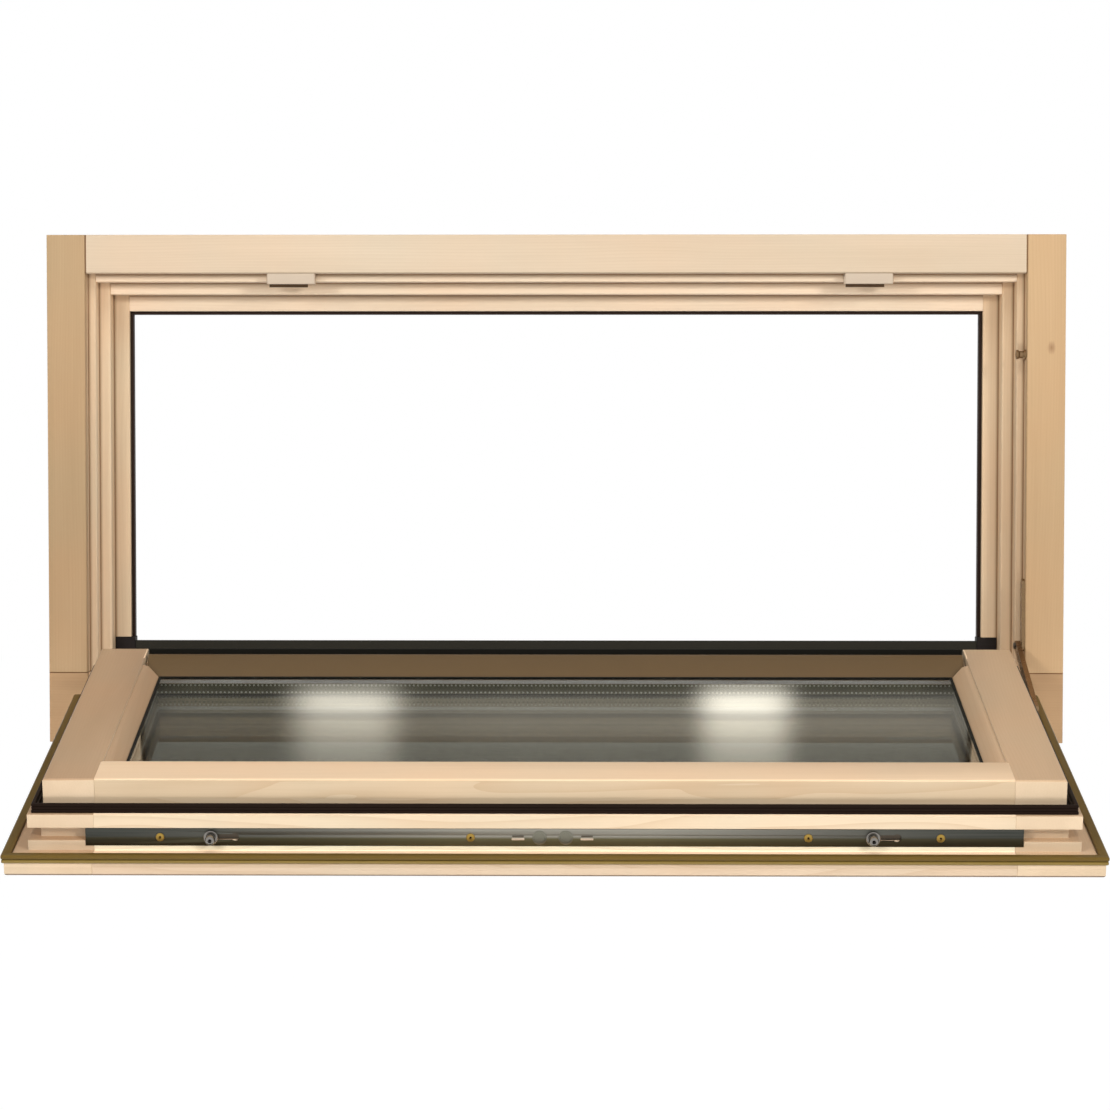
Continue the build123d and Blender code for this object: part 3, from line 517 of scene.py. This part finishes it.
def window_glass(name):
    """Clear pane: a mirror at a shallow look, and see-through from in front."""
    made, tree, shader = blank_material(name)
    tree.nodes.remove(shader)
    place = tree.nodes.new("ShaderNodeTexCoord").outputs["Object"]
    smear = node(tree, "ShaderNodeTexNoise", Vector=place, Scale=9.0, Detail=4.0)
    slant = node(tree, "ShaderNodeLayerWeight", Blend=0.5)
    tint = blend(tree, calculate(tree, "POWER", slant.outputs["Facing"], 1.5),
                 (0.97, 0.98, 0.97, 1.0), (0.63, 0.62, 0.585, 1.0))
    clear = node(tree, "ShaderNodeBsdfTransparent", Color=tint)
    rough = calculate(tree, "ADD", 0.02, calculate(tree, "MULTIPLY", smear.outputs["Fac"], 0.04))
    gloss = node(tree, "ShaderNodeBsdfGlossy", Color=(0.94, 0.95, 0.93, 1.0), Roughness=rough)
    edge = node(tree, "ShaderNodeFresnel", IOR=1.52)
    back = tree.nodes.new("ShaderNodeNewGeometry").outputs["Backfacing"]
    both = calculate(tree, "DIVIDE", calculate(tree, "MULTIPLY", edge.outputs[0], 2.0),
                     calculate(tree, "ADD", edge.outputs[0], 1.0))
    share = calculate(tree, "MULTIPLY", both, calculate(tree, "SUBTRACT", 1.0, back))
    mix_shaders(tree, share, clear, gloss)
    return made


finishes = {}


def make_finishes():
    """Every finish of the window, by name."""
    jamb_knot = (Vector((0.5835, FRAME_ROOM_FACE, 0.467)), 7 * MM, (1.0, 1.0, 0.6))
    # The face tones, the layer tones and in part the tints hold painted light and shade for how light falls
    # on each member, besides the wood's own tone
    woods = (
        ("head", "X", False, dict(seed=1.0, tint=(1.07, 1.13, 1.22), face=(0.73, 0.726, 0.71), seam=554.0,
                                  painted_pocket_shade=((-318.0, 542.1, 23.0, 2.5), (368.0, 542.1, 23.0, 2.5)))),
        ("sill", "X", False, dict(seed=2.0, tint=(0.97, 0.95, 0.93), face=(0.58, 0.49, 0.39), corners=False)),
        ("left_jamb", "Z", False, dict(seed=3.0, tint=(1.0, 1.0, 0.98), face=(0.605, 0.543, 0.454),
                                       seam=82.6)),
        ("right_jamb", "Z", False, dict(seed=4.0, tint=(1.0, 0.98, 0.94), face=(0.68, 0.61, 0.51),
                                        knots=[jamb_knot], seam=82.6)),
        ("sash_rail", "X", True, dict(seed=5.0, figure=0.85, tint=(0.765, 0.774, 0.787),
                                      face=(1.60, 1.54, 1.55),
                                      layers=((-51.0, (1.60, 1.95, 2.15)), (-43.0, (0.72, 0.62, 0.567)),
                                              (-12.5, (0.837, 0.798, 0.752))))),
        ("left_stile", "Z", True, dict(seed=6.0, tint=(0.84, 0.86, 0.86), face=(0.80, 0.686, 0.606))),
        ("right_stile", "Z", True, dict(seed=9.0, tint=(0.84, 0.85, 0.84), face=(0.942, 0.847, 0.775))),
        ("bead_rail", "X", True, dict(seed=7.0)),
        ("bead_stile", "Z", True, dict(seed=8.0)),
    )
    for finish, run, on_sash, options in woods:
        finishes[finish] = softwood(f"{finish}_wood", run, on_sash, **options)

    # Key, material, screen colour, roughness, and what differs from a plain finish
    plain = (
        ("zinc", "zinc_steel", (196, 198, 200), 0.30, dict(metal=1.0, spread=0.10, grain=900.0)),
        ("brass", "passivated_screw", (178, 146, 74), 0.32, dict(metal=1.0)),
        ("dark_bar", "dark_lacquer", (43, 41, 35), 0.6, dict(level=0.1)),
        ("black_plastic", "black_plastic", (34, 30, 28), 0.55, dict(spread=0.15, level=0.15)),
        ("dark_rubber", "dark_rubber", (46, 33, 26), 0.55, dict(spread=0.15, level=0.15)),
        ("olive_rubber", "olive_rubber", (126, 104, 48), 0.36, dict(level=0.4)),
        ("bronze", "bronze_lacquer", (99, 78, 50), 0.45, dict(metal=0.15, spread=0.08, level=0.3)),
        ("seal_rubber", "seal_rubber", (25, 15, 9), 0.55, dict(spread=0.15, level=0.1)),
        ("brown_rubber", "brown_rubber", (96, 74, 24), 0.40, dict(level=0.3)),
        ("boss", "boss_zinc", (126, 124, 110), 0.30, dict(metal=0.85, grain=900.0)),
        ("dark_steel", "dark_steel", (92, 84, 74), 0.30, dict(metal=1.0, spread=0.2, grain=900.0)),
        # The keeps' warm, pale tone is partly a painted reflection of the wood around them
        ("keep", "keep_zinc", (210, 191, 169), 0.38, dict(metal=0.6, spread=0.06, grain=700.0)),
        ("spool", "catch_spool", (138, 112, 82), 0.28, dict(metal=1.0, spread=0.15, grain=900.0)),
        ("chrome", "roller_steel", (136, 132, 126), 0.2, dict(metal=1.0, spread=0.15, grain=900.0)),
        ("black_strip", "black_strip", (27, 26, 22), 0.6, dict(level=0.1)),
        ("dark", "recess_shadow", (22, 20, 18), 0.7, dict(spread=0.1, level=0.1)),
        ("rose", "dark_rose", (34, 27, 21), 0.60, dict(level=0.1)),
    )
    for finish, name, screen, rough, options in plain:
        finishes[finish] = speckled(name, colour(*screen), rough, **options)
    finishes["faceplate"] = faceplate_metal("faceplate_zinc")
    finishes["spacer"] = perforated("spacer_aluminium")
    finishes["glass"] = window_glass("clear_glass")


# Modelling helpers

def deselect():
    """Leave nothing selected."""
    for thing in bpy.context.selected_objects:
        thing.select_set(False)


def choose(thing):
    """Make one object selected and active."""
    deselect()
    thing.select_set(True)
    bpy.context.view_layer.objects.active = thing


def dress(thing, finish):
    """Give a piece its only finish."""
    thing.data.materials.clear()
    thing.data.materials.append(finishes[finish])


def settle(thing, body, replaced=()):
    """Put a finished piece's place in its mesh and let it ride on its body."""
    choose(thing)
    bpy.ops.object.transform_apply(location=True, rotation=True, scale=True)
    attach(thing, body)
    if replaced:
        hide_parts(*replaced)


def smooth(thing, degrees=24):
    """Shade only gently turning faces as round."""
    choose(thing)
    bpy.ops.object.shade_smooth_by_angle(angle=math.radians(degrees))


def turned(name, steps, finish, segments=32):
    """A round piece from (radius, height) steps along Z, in millimetres."""
    radius, height = steps[0]
    deselect()
    bpy.ops.mesh.primitive_circle_add(vertices=segments, radius=radius * MM, fill_type="NGON",
                                      location=(0, 0, height * MM))
    thing = bpy.context.view_layer.objects.active
    thing.name = name
    bpy.ops.object.transform_apply(location=True, rotation=True, scale=True)
    bpy.ops.object.mode_set(mode="EDIT")
    bpy.ops.mesh.select_all(action="SELECT")
    for next_radius, next_height in steps[1:]:
        rise = (next_height - height) * MM
        bpy.ops.mesh.extrude_region_move(TRANSFORM_OT_translate={"value": (0, 0, rise)})
        ratio = next_radius / radius
        bpy.ops.transform.resize(value=(ratio, ratio, 1), center_override=(0, 0, next_height * MM))
        radius, height = next_radius, next_height
    bpy.ops.mesh.select_all(action="SELECT")
    bpy.ops.mesh.normals_make_consistent(inside=False)
    bpy.ops.object.mode_set(mode="OBJECT")
    smooth(thing, 30)
    dress(thing, finish)
    return thing


def ring(name, outer, depths, width, rounding, finish):
    """A rounded ring round the sash: inset of its outer edge, near and far depth, and width."""
    wide = SASH_WIDE - 2 * outer * MM
    tall = SASH_TALL - 2 * outer * MM
    near, far = depths
    deselect()
    bpy.ops.mesh.primitive_plane_add(size=1)
    thing = bpy.context.view_layer.objects.active
    thing.name = name
    thing.dimensions = (wide, tall, 0)
    thing.location = (0, SASH_LOW + SASH_TALL / 2, -SASH_LEAD - near * MM)
    bpy.ops.object.transform_apply(location=True, rotation=True, scale=True)
    bpy.ops.object.mode_set(mode="EDIT")
    bpy.ops.mesh.select_all(action="SELECT")
    bpy.ops.mesh.inset(thickness=width * MM, use_even_offset=True)
    bpy.ops.mesh.delete(type="FACE")
    bpy.ops.mesh.select_all(action="SELECT")
    bpy.ops.mesh.extrude_region_move(TRANSFORM_OT_translate={"value": (0, 0, -(far - near) * MM)})
    bpy.ops.mesh.select_all(action="SELECT")
    bpy.ops.mesh.normals_make_consistent(inside=False)
    bpy.ops.mesh.select_all(action="DESELECT")
    bpy.ops.mesh.select_mode(type="EDGE")
    bpy.ops.mesh.edges_select_sharp(sharpness=math.radians(60))
    bpy.ops.mesh.bevel(offset=rounding * MM, segments=4, affect="EDGES", clamp_overlap=True)
    bpy.ops.object.mode_set(mode="OBJECT")
    smooth(thing, 40)
    dress(thing, finish)
    return thing


def bar(name, size, finish, rounding=0.4):
    """A small block with rounded edges, centred on the origin, in millimetres."""
    deselect()
    bpy.ops.mesh.primitive_cube_add(size=1)
    thing = bpy.context.view_layer.objects.active
    thing.name = name
    thing.dimensions = [side * MM for side in size]
    bpy.ops.object.transform_apply(location=True, rotation=True, scale=True)
    bpy.ops.object.mode_set(mode="EDIT")
    bpy.ops.mesh.select_all(action="SELECT")
    bpy.ops.mesh.bevel(offset=rounding * MM, segments=3, affect="EDGES", clamp_overlap=True)
    bpy.ops.object.mode_set(mode="OBJECT")
    smooth(thing, 35)
    dress(thing, finish)
    return thing


def joined(name, things):
    """One piece from several."""
    deselect()
    for thing in things:
        thing.select_set(True)
    bpy.context.view_layer.objects.active = things[0]
    if len(things) > 1:
        bpy.ops.object.join()
    piece = bpy.context.view_layer.objects.active
    piece.name = name
    return piece


def screw(name, where, radius, finish):
    """A pan-head screw with a driver recess, its head's underside at Z = 0."""
    head = turned(name, [(radius * 0.55, -4.0), (radius * 0.55, 0.0), (radius, 0.0), (radius, radius * 0.18),
                         (radius * 0.86, radius * 0.34), (radius * 0.36, radius * 0.36),
                         (radius * 0.30, 0.02)], finish)
    # The dark disc at the bottom of the driver recess is painted shade
    socket = turned(f"{name}_recess", [(radius * 0.26, 0.0), (radius * 0.26, 0.1)], "dark", 6)
    head.matrix_world = where
    socket.matrix_world = where
    return [head, socket]


def softened(name, body, finish, width, segments=2):
    """A copy of a CAD node with its sharp edges rounded, standing for it."""
    source = nodes[name]
    choose(source)
    bpy.ops.object.duplicate()
    copy = bpy.context.view_layer.objects.active
    copy.name = f"{name}_finished"
    copy.parent = None
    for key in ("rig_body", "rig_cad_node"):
        if key in copy:
            del copy[key]
    bpy.ops.object.mode_set(mode="EDIT")
    bpy.ops.mesh.select_all(action="SELECT")
    bpy.ops.mesh.remove_doubles(threshold=0.005 * MM)
    bpy.ops.mesh.dissolve_limited(angle_limit=math.radians(0.5))
    bpy.ops.object.mode_set(mode="OBJECT")
    bevel = copy.modifiers.new("arris", "BEVEL")
    bevel.width = width
    bevel.segments = segments
    bevel.limit_method = "ANGLE"
    bevel.angle_limit = math.radians(35)
    bevel.use_clamp_overlap = True
    bpy.ops.object.modifier_apply(modifier=bevel.name)
    smooth(copy)
    dress(copy, finish)
    settle(copy, body, (name,))
    return copy


# Operators, one for each group of pieces

class FrameFinish(bpy.types.Operator):
    """Give the frame's members their wood, and round their edges"""
    bl_idname = "tipped_window.frame"
    bl_label = "Frame members"

    def execute(self, context):
        arris = context.scene.window_wood.arris
        for name, finish in (("frame_head", "head"), ("frame_bottom_rail", "sill"),
                             ("frame_left_jamb", "left_jamb"), ("frame_right_jamb", "right_jamb")):
            softened(name, "frame", finish, arris)
        return {"FINISHED"}


class SashFinish(bpy.types.Operator):
    """Give the sash's members and beads their wood, and round their edges"""
    bl_idname = "tipped_window.sash"
    bl_label = "Sash members"

    def execute(self, context):
        arris = context.scene.window_wood.arris
        for end in ("top", "bottom"):
            softened(f"sash_{end}_rail", "sash", "sash_rail", arris)
            softened(f"{end}_glazing_bead", "sash", "bead_rail", arris)
        for hand in ("left", "right"):
            softened(f"sash_{hand}_stile", "sash", f"{hand}_stile", arris)
            softened(f"{hand}_glazing_bead", "sash", "bead_stile", arris)
        return {"FINISHED"}


class WeatherFinish(bpy.types.Operator):
    """Finish the rain bar, its end caps, the trim, the drip cover and the seals"""
    bl_idname = "tipped_window.weather"
    bl_label = "Rain bar, cover and seals"

    def execute(self, context):
        softened("rain_bar", "frame", "dark_bar", 0.4 * MM)
        for hand in ("left", "right"):
            softened(f"rain_bar_{hand}_cap", "frame", "black_plastic", 0.5 * MM)
        softened("opening_trim", "frame", "dark_rubber", 0.6 * MM)
        softened("sash_drip_cover", "sash", "bronze", 0.6 * MM, 3)
        softened("sash_edge_strip", "sash", "black_strip", 0.4 * MM)
        softened("glazing_seal", "sash", "black_strip", 0.3 * MM)
        outer_seal = joined("overlap_seal", [
            ring("overlap_bulb", -3.0, (18.3, 23.5), 9.6, 2.3, "brown_rubber"),
            ring("overlap_lip", -2.4, (14.3, 18.0), 7.0, 1.5, "olive_rubber"),
            ring("overlap_web", 0.2, (17.0, 20.0), 4.0, 0.3, "olive_rubber"),
        ])
        outer_seal.matrix_world = sash_place
        settle(outer_seal, "sash", ("overlap_gasket",))
        middle_seal = joined("middle_seal", [
            ring("seal_foot", 26.0, (58.6, 62.0), 10.9, 0.8, "seal_rubber"),
            ring("seal_bulb", 26.2, (61.6, 65.6), 6.0, 1.6, "seal_rubber"),
            ring("seal_lip", 26.0, (65.2, 68.8), 4.0, 1.4, "seal_rubber"),
        ])
        middle_seal.matrix_world = sash_place
        settle(middle_seal, "sash", ("mid_gasket",))
        return {"FINISHED"}


class GlazingFinish(bpy.types.Operator):
    """Finish the panes, the spacers and the setting blocks"""
    bl_idname = "tipped_window.glazing"
    bl_label = "Glazing"

    def execute(self, context):
        for name in ("outer_pane", "middle_pane", "inner_pane"):
            dress(nodes[name], "glass")
        for name in ("outer_spacer", "inner_spacer"):
            dress(nodes[name], "spacer")
        dress(nodes["setting_blocks"], "black_plastic")
        return {"FINISHED"}


class HardwareFinish(bpy.types.Operator):
    """Finish the hinges, the lock, the keeps, the stay and the handle rose"""
    bl_idname = "tipped_window.hardware"
    bl_label = "Hardware"

    def execute(self, context):
        fine = 0.3 * MM
        for hand in ("left", "right"):
            softened(f"{hand}_keep", "frame", "keep", fine)
            softened(f"{hand}_hinge_frame_leaf", "frame", "zinc", fine)
            softened(f"{hand}_hinge_sash_leaf", "sash", "zinc", fine)
        softened("stay_bracket", "frame", "spool", fine)
        softened("stay_arm", "stay_arm", "spool", 0.8 * MM)
        softened("stay_track", "sash", "zinc", fine)
        softened("lock_faceplate", "sash", "faceplate", fine)
        dress(nodes["lock_gearbox"], "zinc")
        dress(nodes["drive_rod"], "dark_steel")
        softened("handle_rose", "sash", "rose", fine)
        return {"FINISHED"}


class LockDetail(bpy.types.Operator):
    """Add the roller cams, and the faceplate's screws, bosses and marks"""
    bl_idname = "tipped_window.lock_detail"
    bl_label = "Lock details"

    def execute(self, context):
        for across, hand in zip(CAM_PLACES, ("left", "right")):
            cam = turned(f"{hand}_roller_cam", [
                (2.5, -3.2), (2.5, 0.3), (7.4, 0.3), (7.5, 0.9), (7.5, 2.4), (6.9, 3.0), (4.0, 3.0),
                (4.0, 3.8), (4.9, 4.1), (5.0, 5.0), (5.0, 10.6), (4.4, 11.7), (3.2, 12.0), (2.1, 12.0),
                (1.9, 9.6)], "chrome")
            # The dark disc at the bottom of the cam's bore is painted shade
            socket = turned(f"{hand}_cam_socket", [(1.8, 9.6), (1.8, 9.8)], "dark", 6)
            piece = joined(f"{hand}_roller_cam", [cam, socket])
            piece.matrix_world = lock_spot(across)
            settle(piece, "lock_bar", (f"{hand}_lock_cam",))
        screws = []
        for number, across in enumerate((-403.0, -85.0, 260.0, 395.0)):
            screws += screw(f"plate_screw_{number}", lock_spot(across * MM), 4.4, "brass")
        settle(joined("faceplate_screws", screws), "sash")
        marks = []
        for number, across in enumerate((-14.6, 12.3)):
            boss = turned(f"boss_{number}", [(7.6, -0.5), (7.6, 0.35), (7.0, 0.6), (5.6, 0.6), (5.4, 0.2)],
                          "boss")
            boss.matrix_world = lock_spot(across * MM)
            marks.append(boss)
        for number, across in enumerate((-36.5, 34.0)):
            slot = bar(f"slot_rim_{number}", (13.0, 2.4, 1.0), "keep")
            slot.matrix_world = lock_spot(across * MM, 0.1 * MM, -1.6 * MM)
            gap = bar(f"slot_gap_{number}", (12.0, 1.2, 1.0), "dark_steel")
            gap.matrix_world = lock_spot(across * MM, 0.1 * MM, 1.6 * MM)
            marks += [slot, gap]
        settle(joined("gearbox_bosses", marks), "sash")
        return {"FINISHED"}


class StayDetail(bpy.types.Operator):
    """Add the catch spool, and the stay's rivet and screws"""
    bl_idname = "tipped_window.stay_detail"
    bl_label = "Stay details"

    def execute(self, context):
        inward = Matrix.Rotation(-math.pi / 2, 4, "Y")
        spool = turned("catch_spool", [
            (5.2, 0.0), (6.0, 0.6), (6.0, 2.0), (5.0, 3.0), (4.2, 4.0), (4.2, 7.6), (5.0, 8.6),
            (5.6, 9.4), (5.6, 11.2), (5.0, 11.9), (2.2, 11.9), (2.0, 10.4)], "spool")
        spool.matrix_world = Matrix.Translation((JAMB_WALL, STAY_DEPTH, CATCH_HEIGHT)) @ inward
        settle(spool, "frame", ("stay_catch_pin",))
        heads = []
        for number, height in enumerate((186.0, 141.0)):
            where = Matrix.Translation((JAMB_WALL - 2.03 * MM, STAY_DEPTH, height * MM)) @ inward
            heads += screw(f"bracket_screw_{number}", where, 4.2, "dark_steel")
        settle(joined("bracket_screws", heads), "frame")
        rivet = turned("pivot_rivet", [(4.0, 0.0), (4.0, 1.0), (3.4, 1.7), (2.0, 2.0)], "dark_steel")
        rivet.matrix_world = Matrix.Translation((JAMB_WALL - 10.5 * MM, STAY_DEPTH, PIVOT_HEIGHT)) @ inward
        settle(rivet, "stay_arm")
        return {"FINISHED"}


class HingeDetail(bpy.types.Operator):
    """Add the screws of the bottom hinges"""
    bl_idname = "tipped_window.hinge_detail"
    bl_label = "Hinge screws"

    def execute(self, context):
        on_frame = []
        on_leaf = []
        outwards = Matrix.Rotation(math.pi / 2, 4, "X")
        for side in (-1, 1):
            middle = side * HINGE_PLACE
            for shift in (-LEAF_LENGTH / 3, LEAF_LENGTH / 3):
                where = Matrix.Translation(((middle + shift) * MM, -49 * MM, 18 * MM)) @ outwards
                on_frame += screw(f"frame_leaf_screw_{len(on_frame)}", where, 4.2, "zinc")
                for height in (25.5, 52.5):
                    where = sash_spot((middle + shift) * MM, height * MM, -3 * MM)
                    on_leaf += screw(f"sash_leaf_screw_{len(on_leaf)}", where, 4.2, "zinc")
        settle(joined("frame_leaf_screws", on_frame), "frame")
        settle(joined("sash_leaf_screws", on_leaf), "sash")
        return {"FINISHED"}


def area_lamp(name, place, aim, size, power):
    """A soft rectangular lamp at a place, turned to a point and not mirrored."""
    bpy.ops.object.light_add(type="AREA", location=place)
    lamp = bpy.context.view_layer.objects.active
    lamp.name = name
    lamp.data.shape = "RECTANGLE"
    lamp.data.size, lamp.data.size_y = size
    lamp.data.energy = power
    lamp.rotation_euler = (Vector(aim) - Vector(place)).to_track_quat("-Z", "Y").to_euler()
    lamp.visible_camera = False
    lamp.visible_glossy = False


def seen_directly(tree):
    """One for the rays that show the background: to the camera, by metal or through glass."""
    path = tree.nodes.new("ShaderNodeLightPath")
    mirrored = calculate(tree, "MAXIMUM", path.outputs["Is Glossy Ray"], path.outputs["Is Transmission Ray"])
    return calculate(tree, "MAXIMUM", path.outputs["Is Camera Ray"], mirrored)


def profile(tree, place, stops):
    """A value that runs through the given (place, value) stops, as a share of two."""
    ramp = tree.nodes.new("ShaderNodeValToRGB")
    tree.links.new(place, ramp.inputs[0])
    for index, (where, value) in enumerate(stops):
        stop = ramp.color_ramp.elements[index] if index < 2 else ramp.color_ramp.elements.new(where)
        stop.position = where
        stop.color = (value / 2, value / 2, value / 2, 1.0)
    return calculate(tree, "MULTIPLY", ramp.outputs[0], 2.0)


def reflection_card(context):
    """A dark card behind the window with two bright patches, seen in glossy faces alone."""
    glass_middle = Vector((0, -0.36, 0.09))
    rise = math.radians(31)
    direction = Vector((0, math.cos(rise), math.sin(rise)))
    centre = glass_middle + 3.0 * direction
    bpy.ops.mesh.primitive_plane_add(size=1, location=centre, rotation=(math.pi / 2 + rise, 0, 0))
    card = context.view_layer.objects.active
    card.name = "reflection_card"
    card.dimensions = (4.5, 1.6, 0)
    made, tree, shader = blank_material("card_with_lamps")
    tree.nodes.remove(shader)
    place = tree.nodes.new("ShaderNodeTexCoord").outputs["Object"]
    parts = node(tree, "ShaderNodeSeparateXYZ", Vector=place)
    glow = 0.0
    for middle, width, power in ((-0.095, 0.023, 1.3), (0.083, 0.020, 1.9)):
        offset = calculate(tree, "DIVIDE", calculate(tree, "SUBTRACT", parts.outputs["X"], middle), width)
        steep = calculate(tree, "POWER", calculate(tree, "ABSOLUTE", offset), 4.0)
        bell = calculate(tree, "EXPONENT", calculate(tree, "MULTIPLY", steep, -1.0))
        glow = calculate(tree, "ADD", glow, calculate(tree, "MULTIPLY", bell, power))
    # The card is darkest where the near part of the glass mirrors it, and palest half-way up
    height = calculate(tree, "ADD", calculate(tree, "MULTIPLY", parts.outputs["Y"], 6.0), 0.5)
    fall = profile(tree, height, ((0.0, 0.35), (0.27, 0.45), (0.295, 1.4), (0.39, 1.6), (0.43, 0.85),
                                  (0.50, 0.62), (0.60, 0.55), (0.72, 0.35), (0.80, 0.22)))
    haze = profile(tree, height, ((0.0, 0.02), (0.26, 0.02), (0.285, 0.22), (0.45, 0.32), (0.56, 0.30),
                                  (0.60, 0.17), (0.70, 0.10), (0.80, 0.06)))
    side = between(tree, parts.outputs["X"], -0.13, -0.02, 0.65, 1.35)
    strength = calculate(tree, "ADD", calculate(tree, "MULTIPLY", glow, fall),
                         calculate(tree, "MULTIPLY", haze, side))
    light = node(tree, "ShaderNodeEmission", Color=(1.0, 0.94, 0.82, 1.0), Strength=strength)
    tree.links.new(light.outputs[0], tree.nodes["Material Output"].inputs[0])
    card.data.materials.append(made)
    card.visible_camera = False
    card.visible_diffuse = False
    card.visible_transmission = False
    card.visible_shadow = False


class Studio(bpy.types.Operator):
    """Set the floor, the lamps, the world and the camera"""
    bl_idname = "tipped_window.studio"
    bl_label = "Studio and camera"

    def execute(self, context):
        scene = context.scene
        settings = scene.window_studio
        scene.view_settings.view_transform = "Standard"

        bpy.ops.mesh.primitive_plane_add(size=40, location=(0, 0, -settings.floor_drop))
        floor = context.view_layer.objects.active
        floor.name = "studio_floor"
        made, tree, shader = blank_material("pale_floor")
        place = tree.nodes.new("ShaderNodeTexCoord").outputs["Object"]
        mottle = node(tree, "ShaderNodeTexNoise", Vector=place, Scale=2.0, Detail=2.0)
        tree.links.new(blend(tree, mottle.outputs["Fac"], (0.93, 0.93, 0.93, 1), (0.95, 0.95, 0.95, 1)),
                       shader.inputs["Base Color"])
        shader.inputs["Roughness"].default_value = 0.9
        shader.inputs["Specular IOR Level"].default_value = 0.0
        paper = node(tree, "ShaderNodeEmission", Color=(1, 1, 1, 1), Strength=1.09)
        share = calculate(tree, "MULTIPLY", seen_directly(tree), 0.9)
        mix_shaders(tree, share, shader, paper)
        floor.data.materials.append(made)
        reflection_card(context)

        world = bpy.data.worlds.new("studio_world")
        scene.world = world
        world.use_nodes = True
        tree = world.node_tree
        tree.nodes.clear()
        backdrop = node(tree, "ShaderNodeBackground", Color=(1, 1, 1, 1), Strength=1.0)
        fill = node(tree, "ShaderNodeBackground", Color=(0.97, 0.98, 1.0, 1), Strength=0.20)
        tree.nodes.new("ShaderNodeOutputWorld")
        mix_shaders(tree, seen_directly(tree), fill, backdrop)

        area_lamp("right_lamp", (2.6, -3.9, 1.6), (0, -0.1, 0.15), (0.8, 0.8), 92)
        area_lamp("left_lamp", (-2.6, -3.9, 1.6), (0, -0.1, 0.15), (0.8, 0.8), 74)
        area_lamp("top_lamp", (0, -1.9, 2.8), (0, -0.3, 0.1), (2.4, 1.2), 36)
        area_lamp("low_lamp", (0, -2.4, -1.2), (0, -0.05, 0.4), (2.4, 0.7), 22)

        bpy.ops.object.camera_add(
            location=(settings.camera_side, -settings.camera_back, settings.camera_height),
            rotation=(math.pi / 2 - settings.camera_pitch, 0, settings.camera_turn))
        camera = context.view_layer.objects.active
        camera.data.sensor_width = 36
        camera.data.shift_x = settings.camera_shift
        camera.data.lens = settings.lens
        camera.data.clip_end = 100
        scene.camera = camera
        return {"FINISHED"}


class WindowPanel(bpy.types.Panel):
    """Lists the steps that dress the window"""
    bl_idname = "VIEW3D_PT_tipped_window"
    bl_label = "Tipped window"
    bl_space_type = "VIEW_3D"
    bl_region_type = "UI"
    bl_category = "Window"

    def draw(self, context):
        for step in STEPS:
            self.layout.operator(step.bl_idname)
        for name in ("light", "dark", "ring_spacing", "arris"):
            self.layout.prop(context.scene.window_wood, name)
        for name in StudioSettings.__annotations__:
            self.layout.prop(context.scene.window_studio, name)


STEPS = (FrameFinish, SashFinish, WeatherFinish, GlazingFinish, HardwareFinish, LockDetail, StayDetail,
         HingeDetail, Studio)
CLASSES = (WoodSettings, StudioSettings, *STEPS, WindowPanel)


def register():
    for made in CLASSES:
        bpy.utils.register_class(made)
    bpy.types.Scene.window_wood = bpy.props.PointerProperty(type=WoodSettings)
    bpy.types.Scene.window_studio = bpy.props.PointerProperty(type=StudioSettings)


def unregister():
    del bpy.types.Scene.window_wood
    del bpy.types.Scene.window_studio
    for made in reversed(CLASSES):
        bpy.utils.unregister_class(made)


def main():
    register()
    make_finishes()
    for step in STEPS:
        group, name = step.bl_idname.split(".")
        getattr(getattr(bpy.ops, group), name)()


if __name__ == "__main__":
    main()
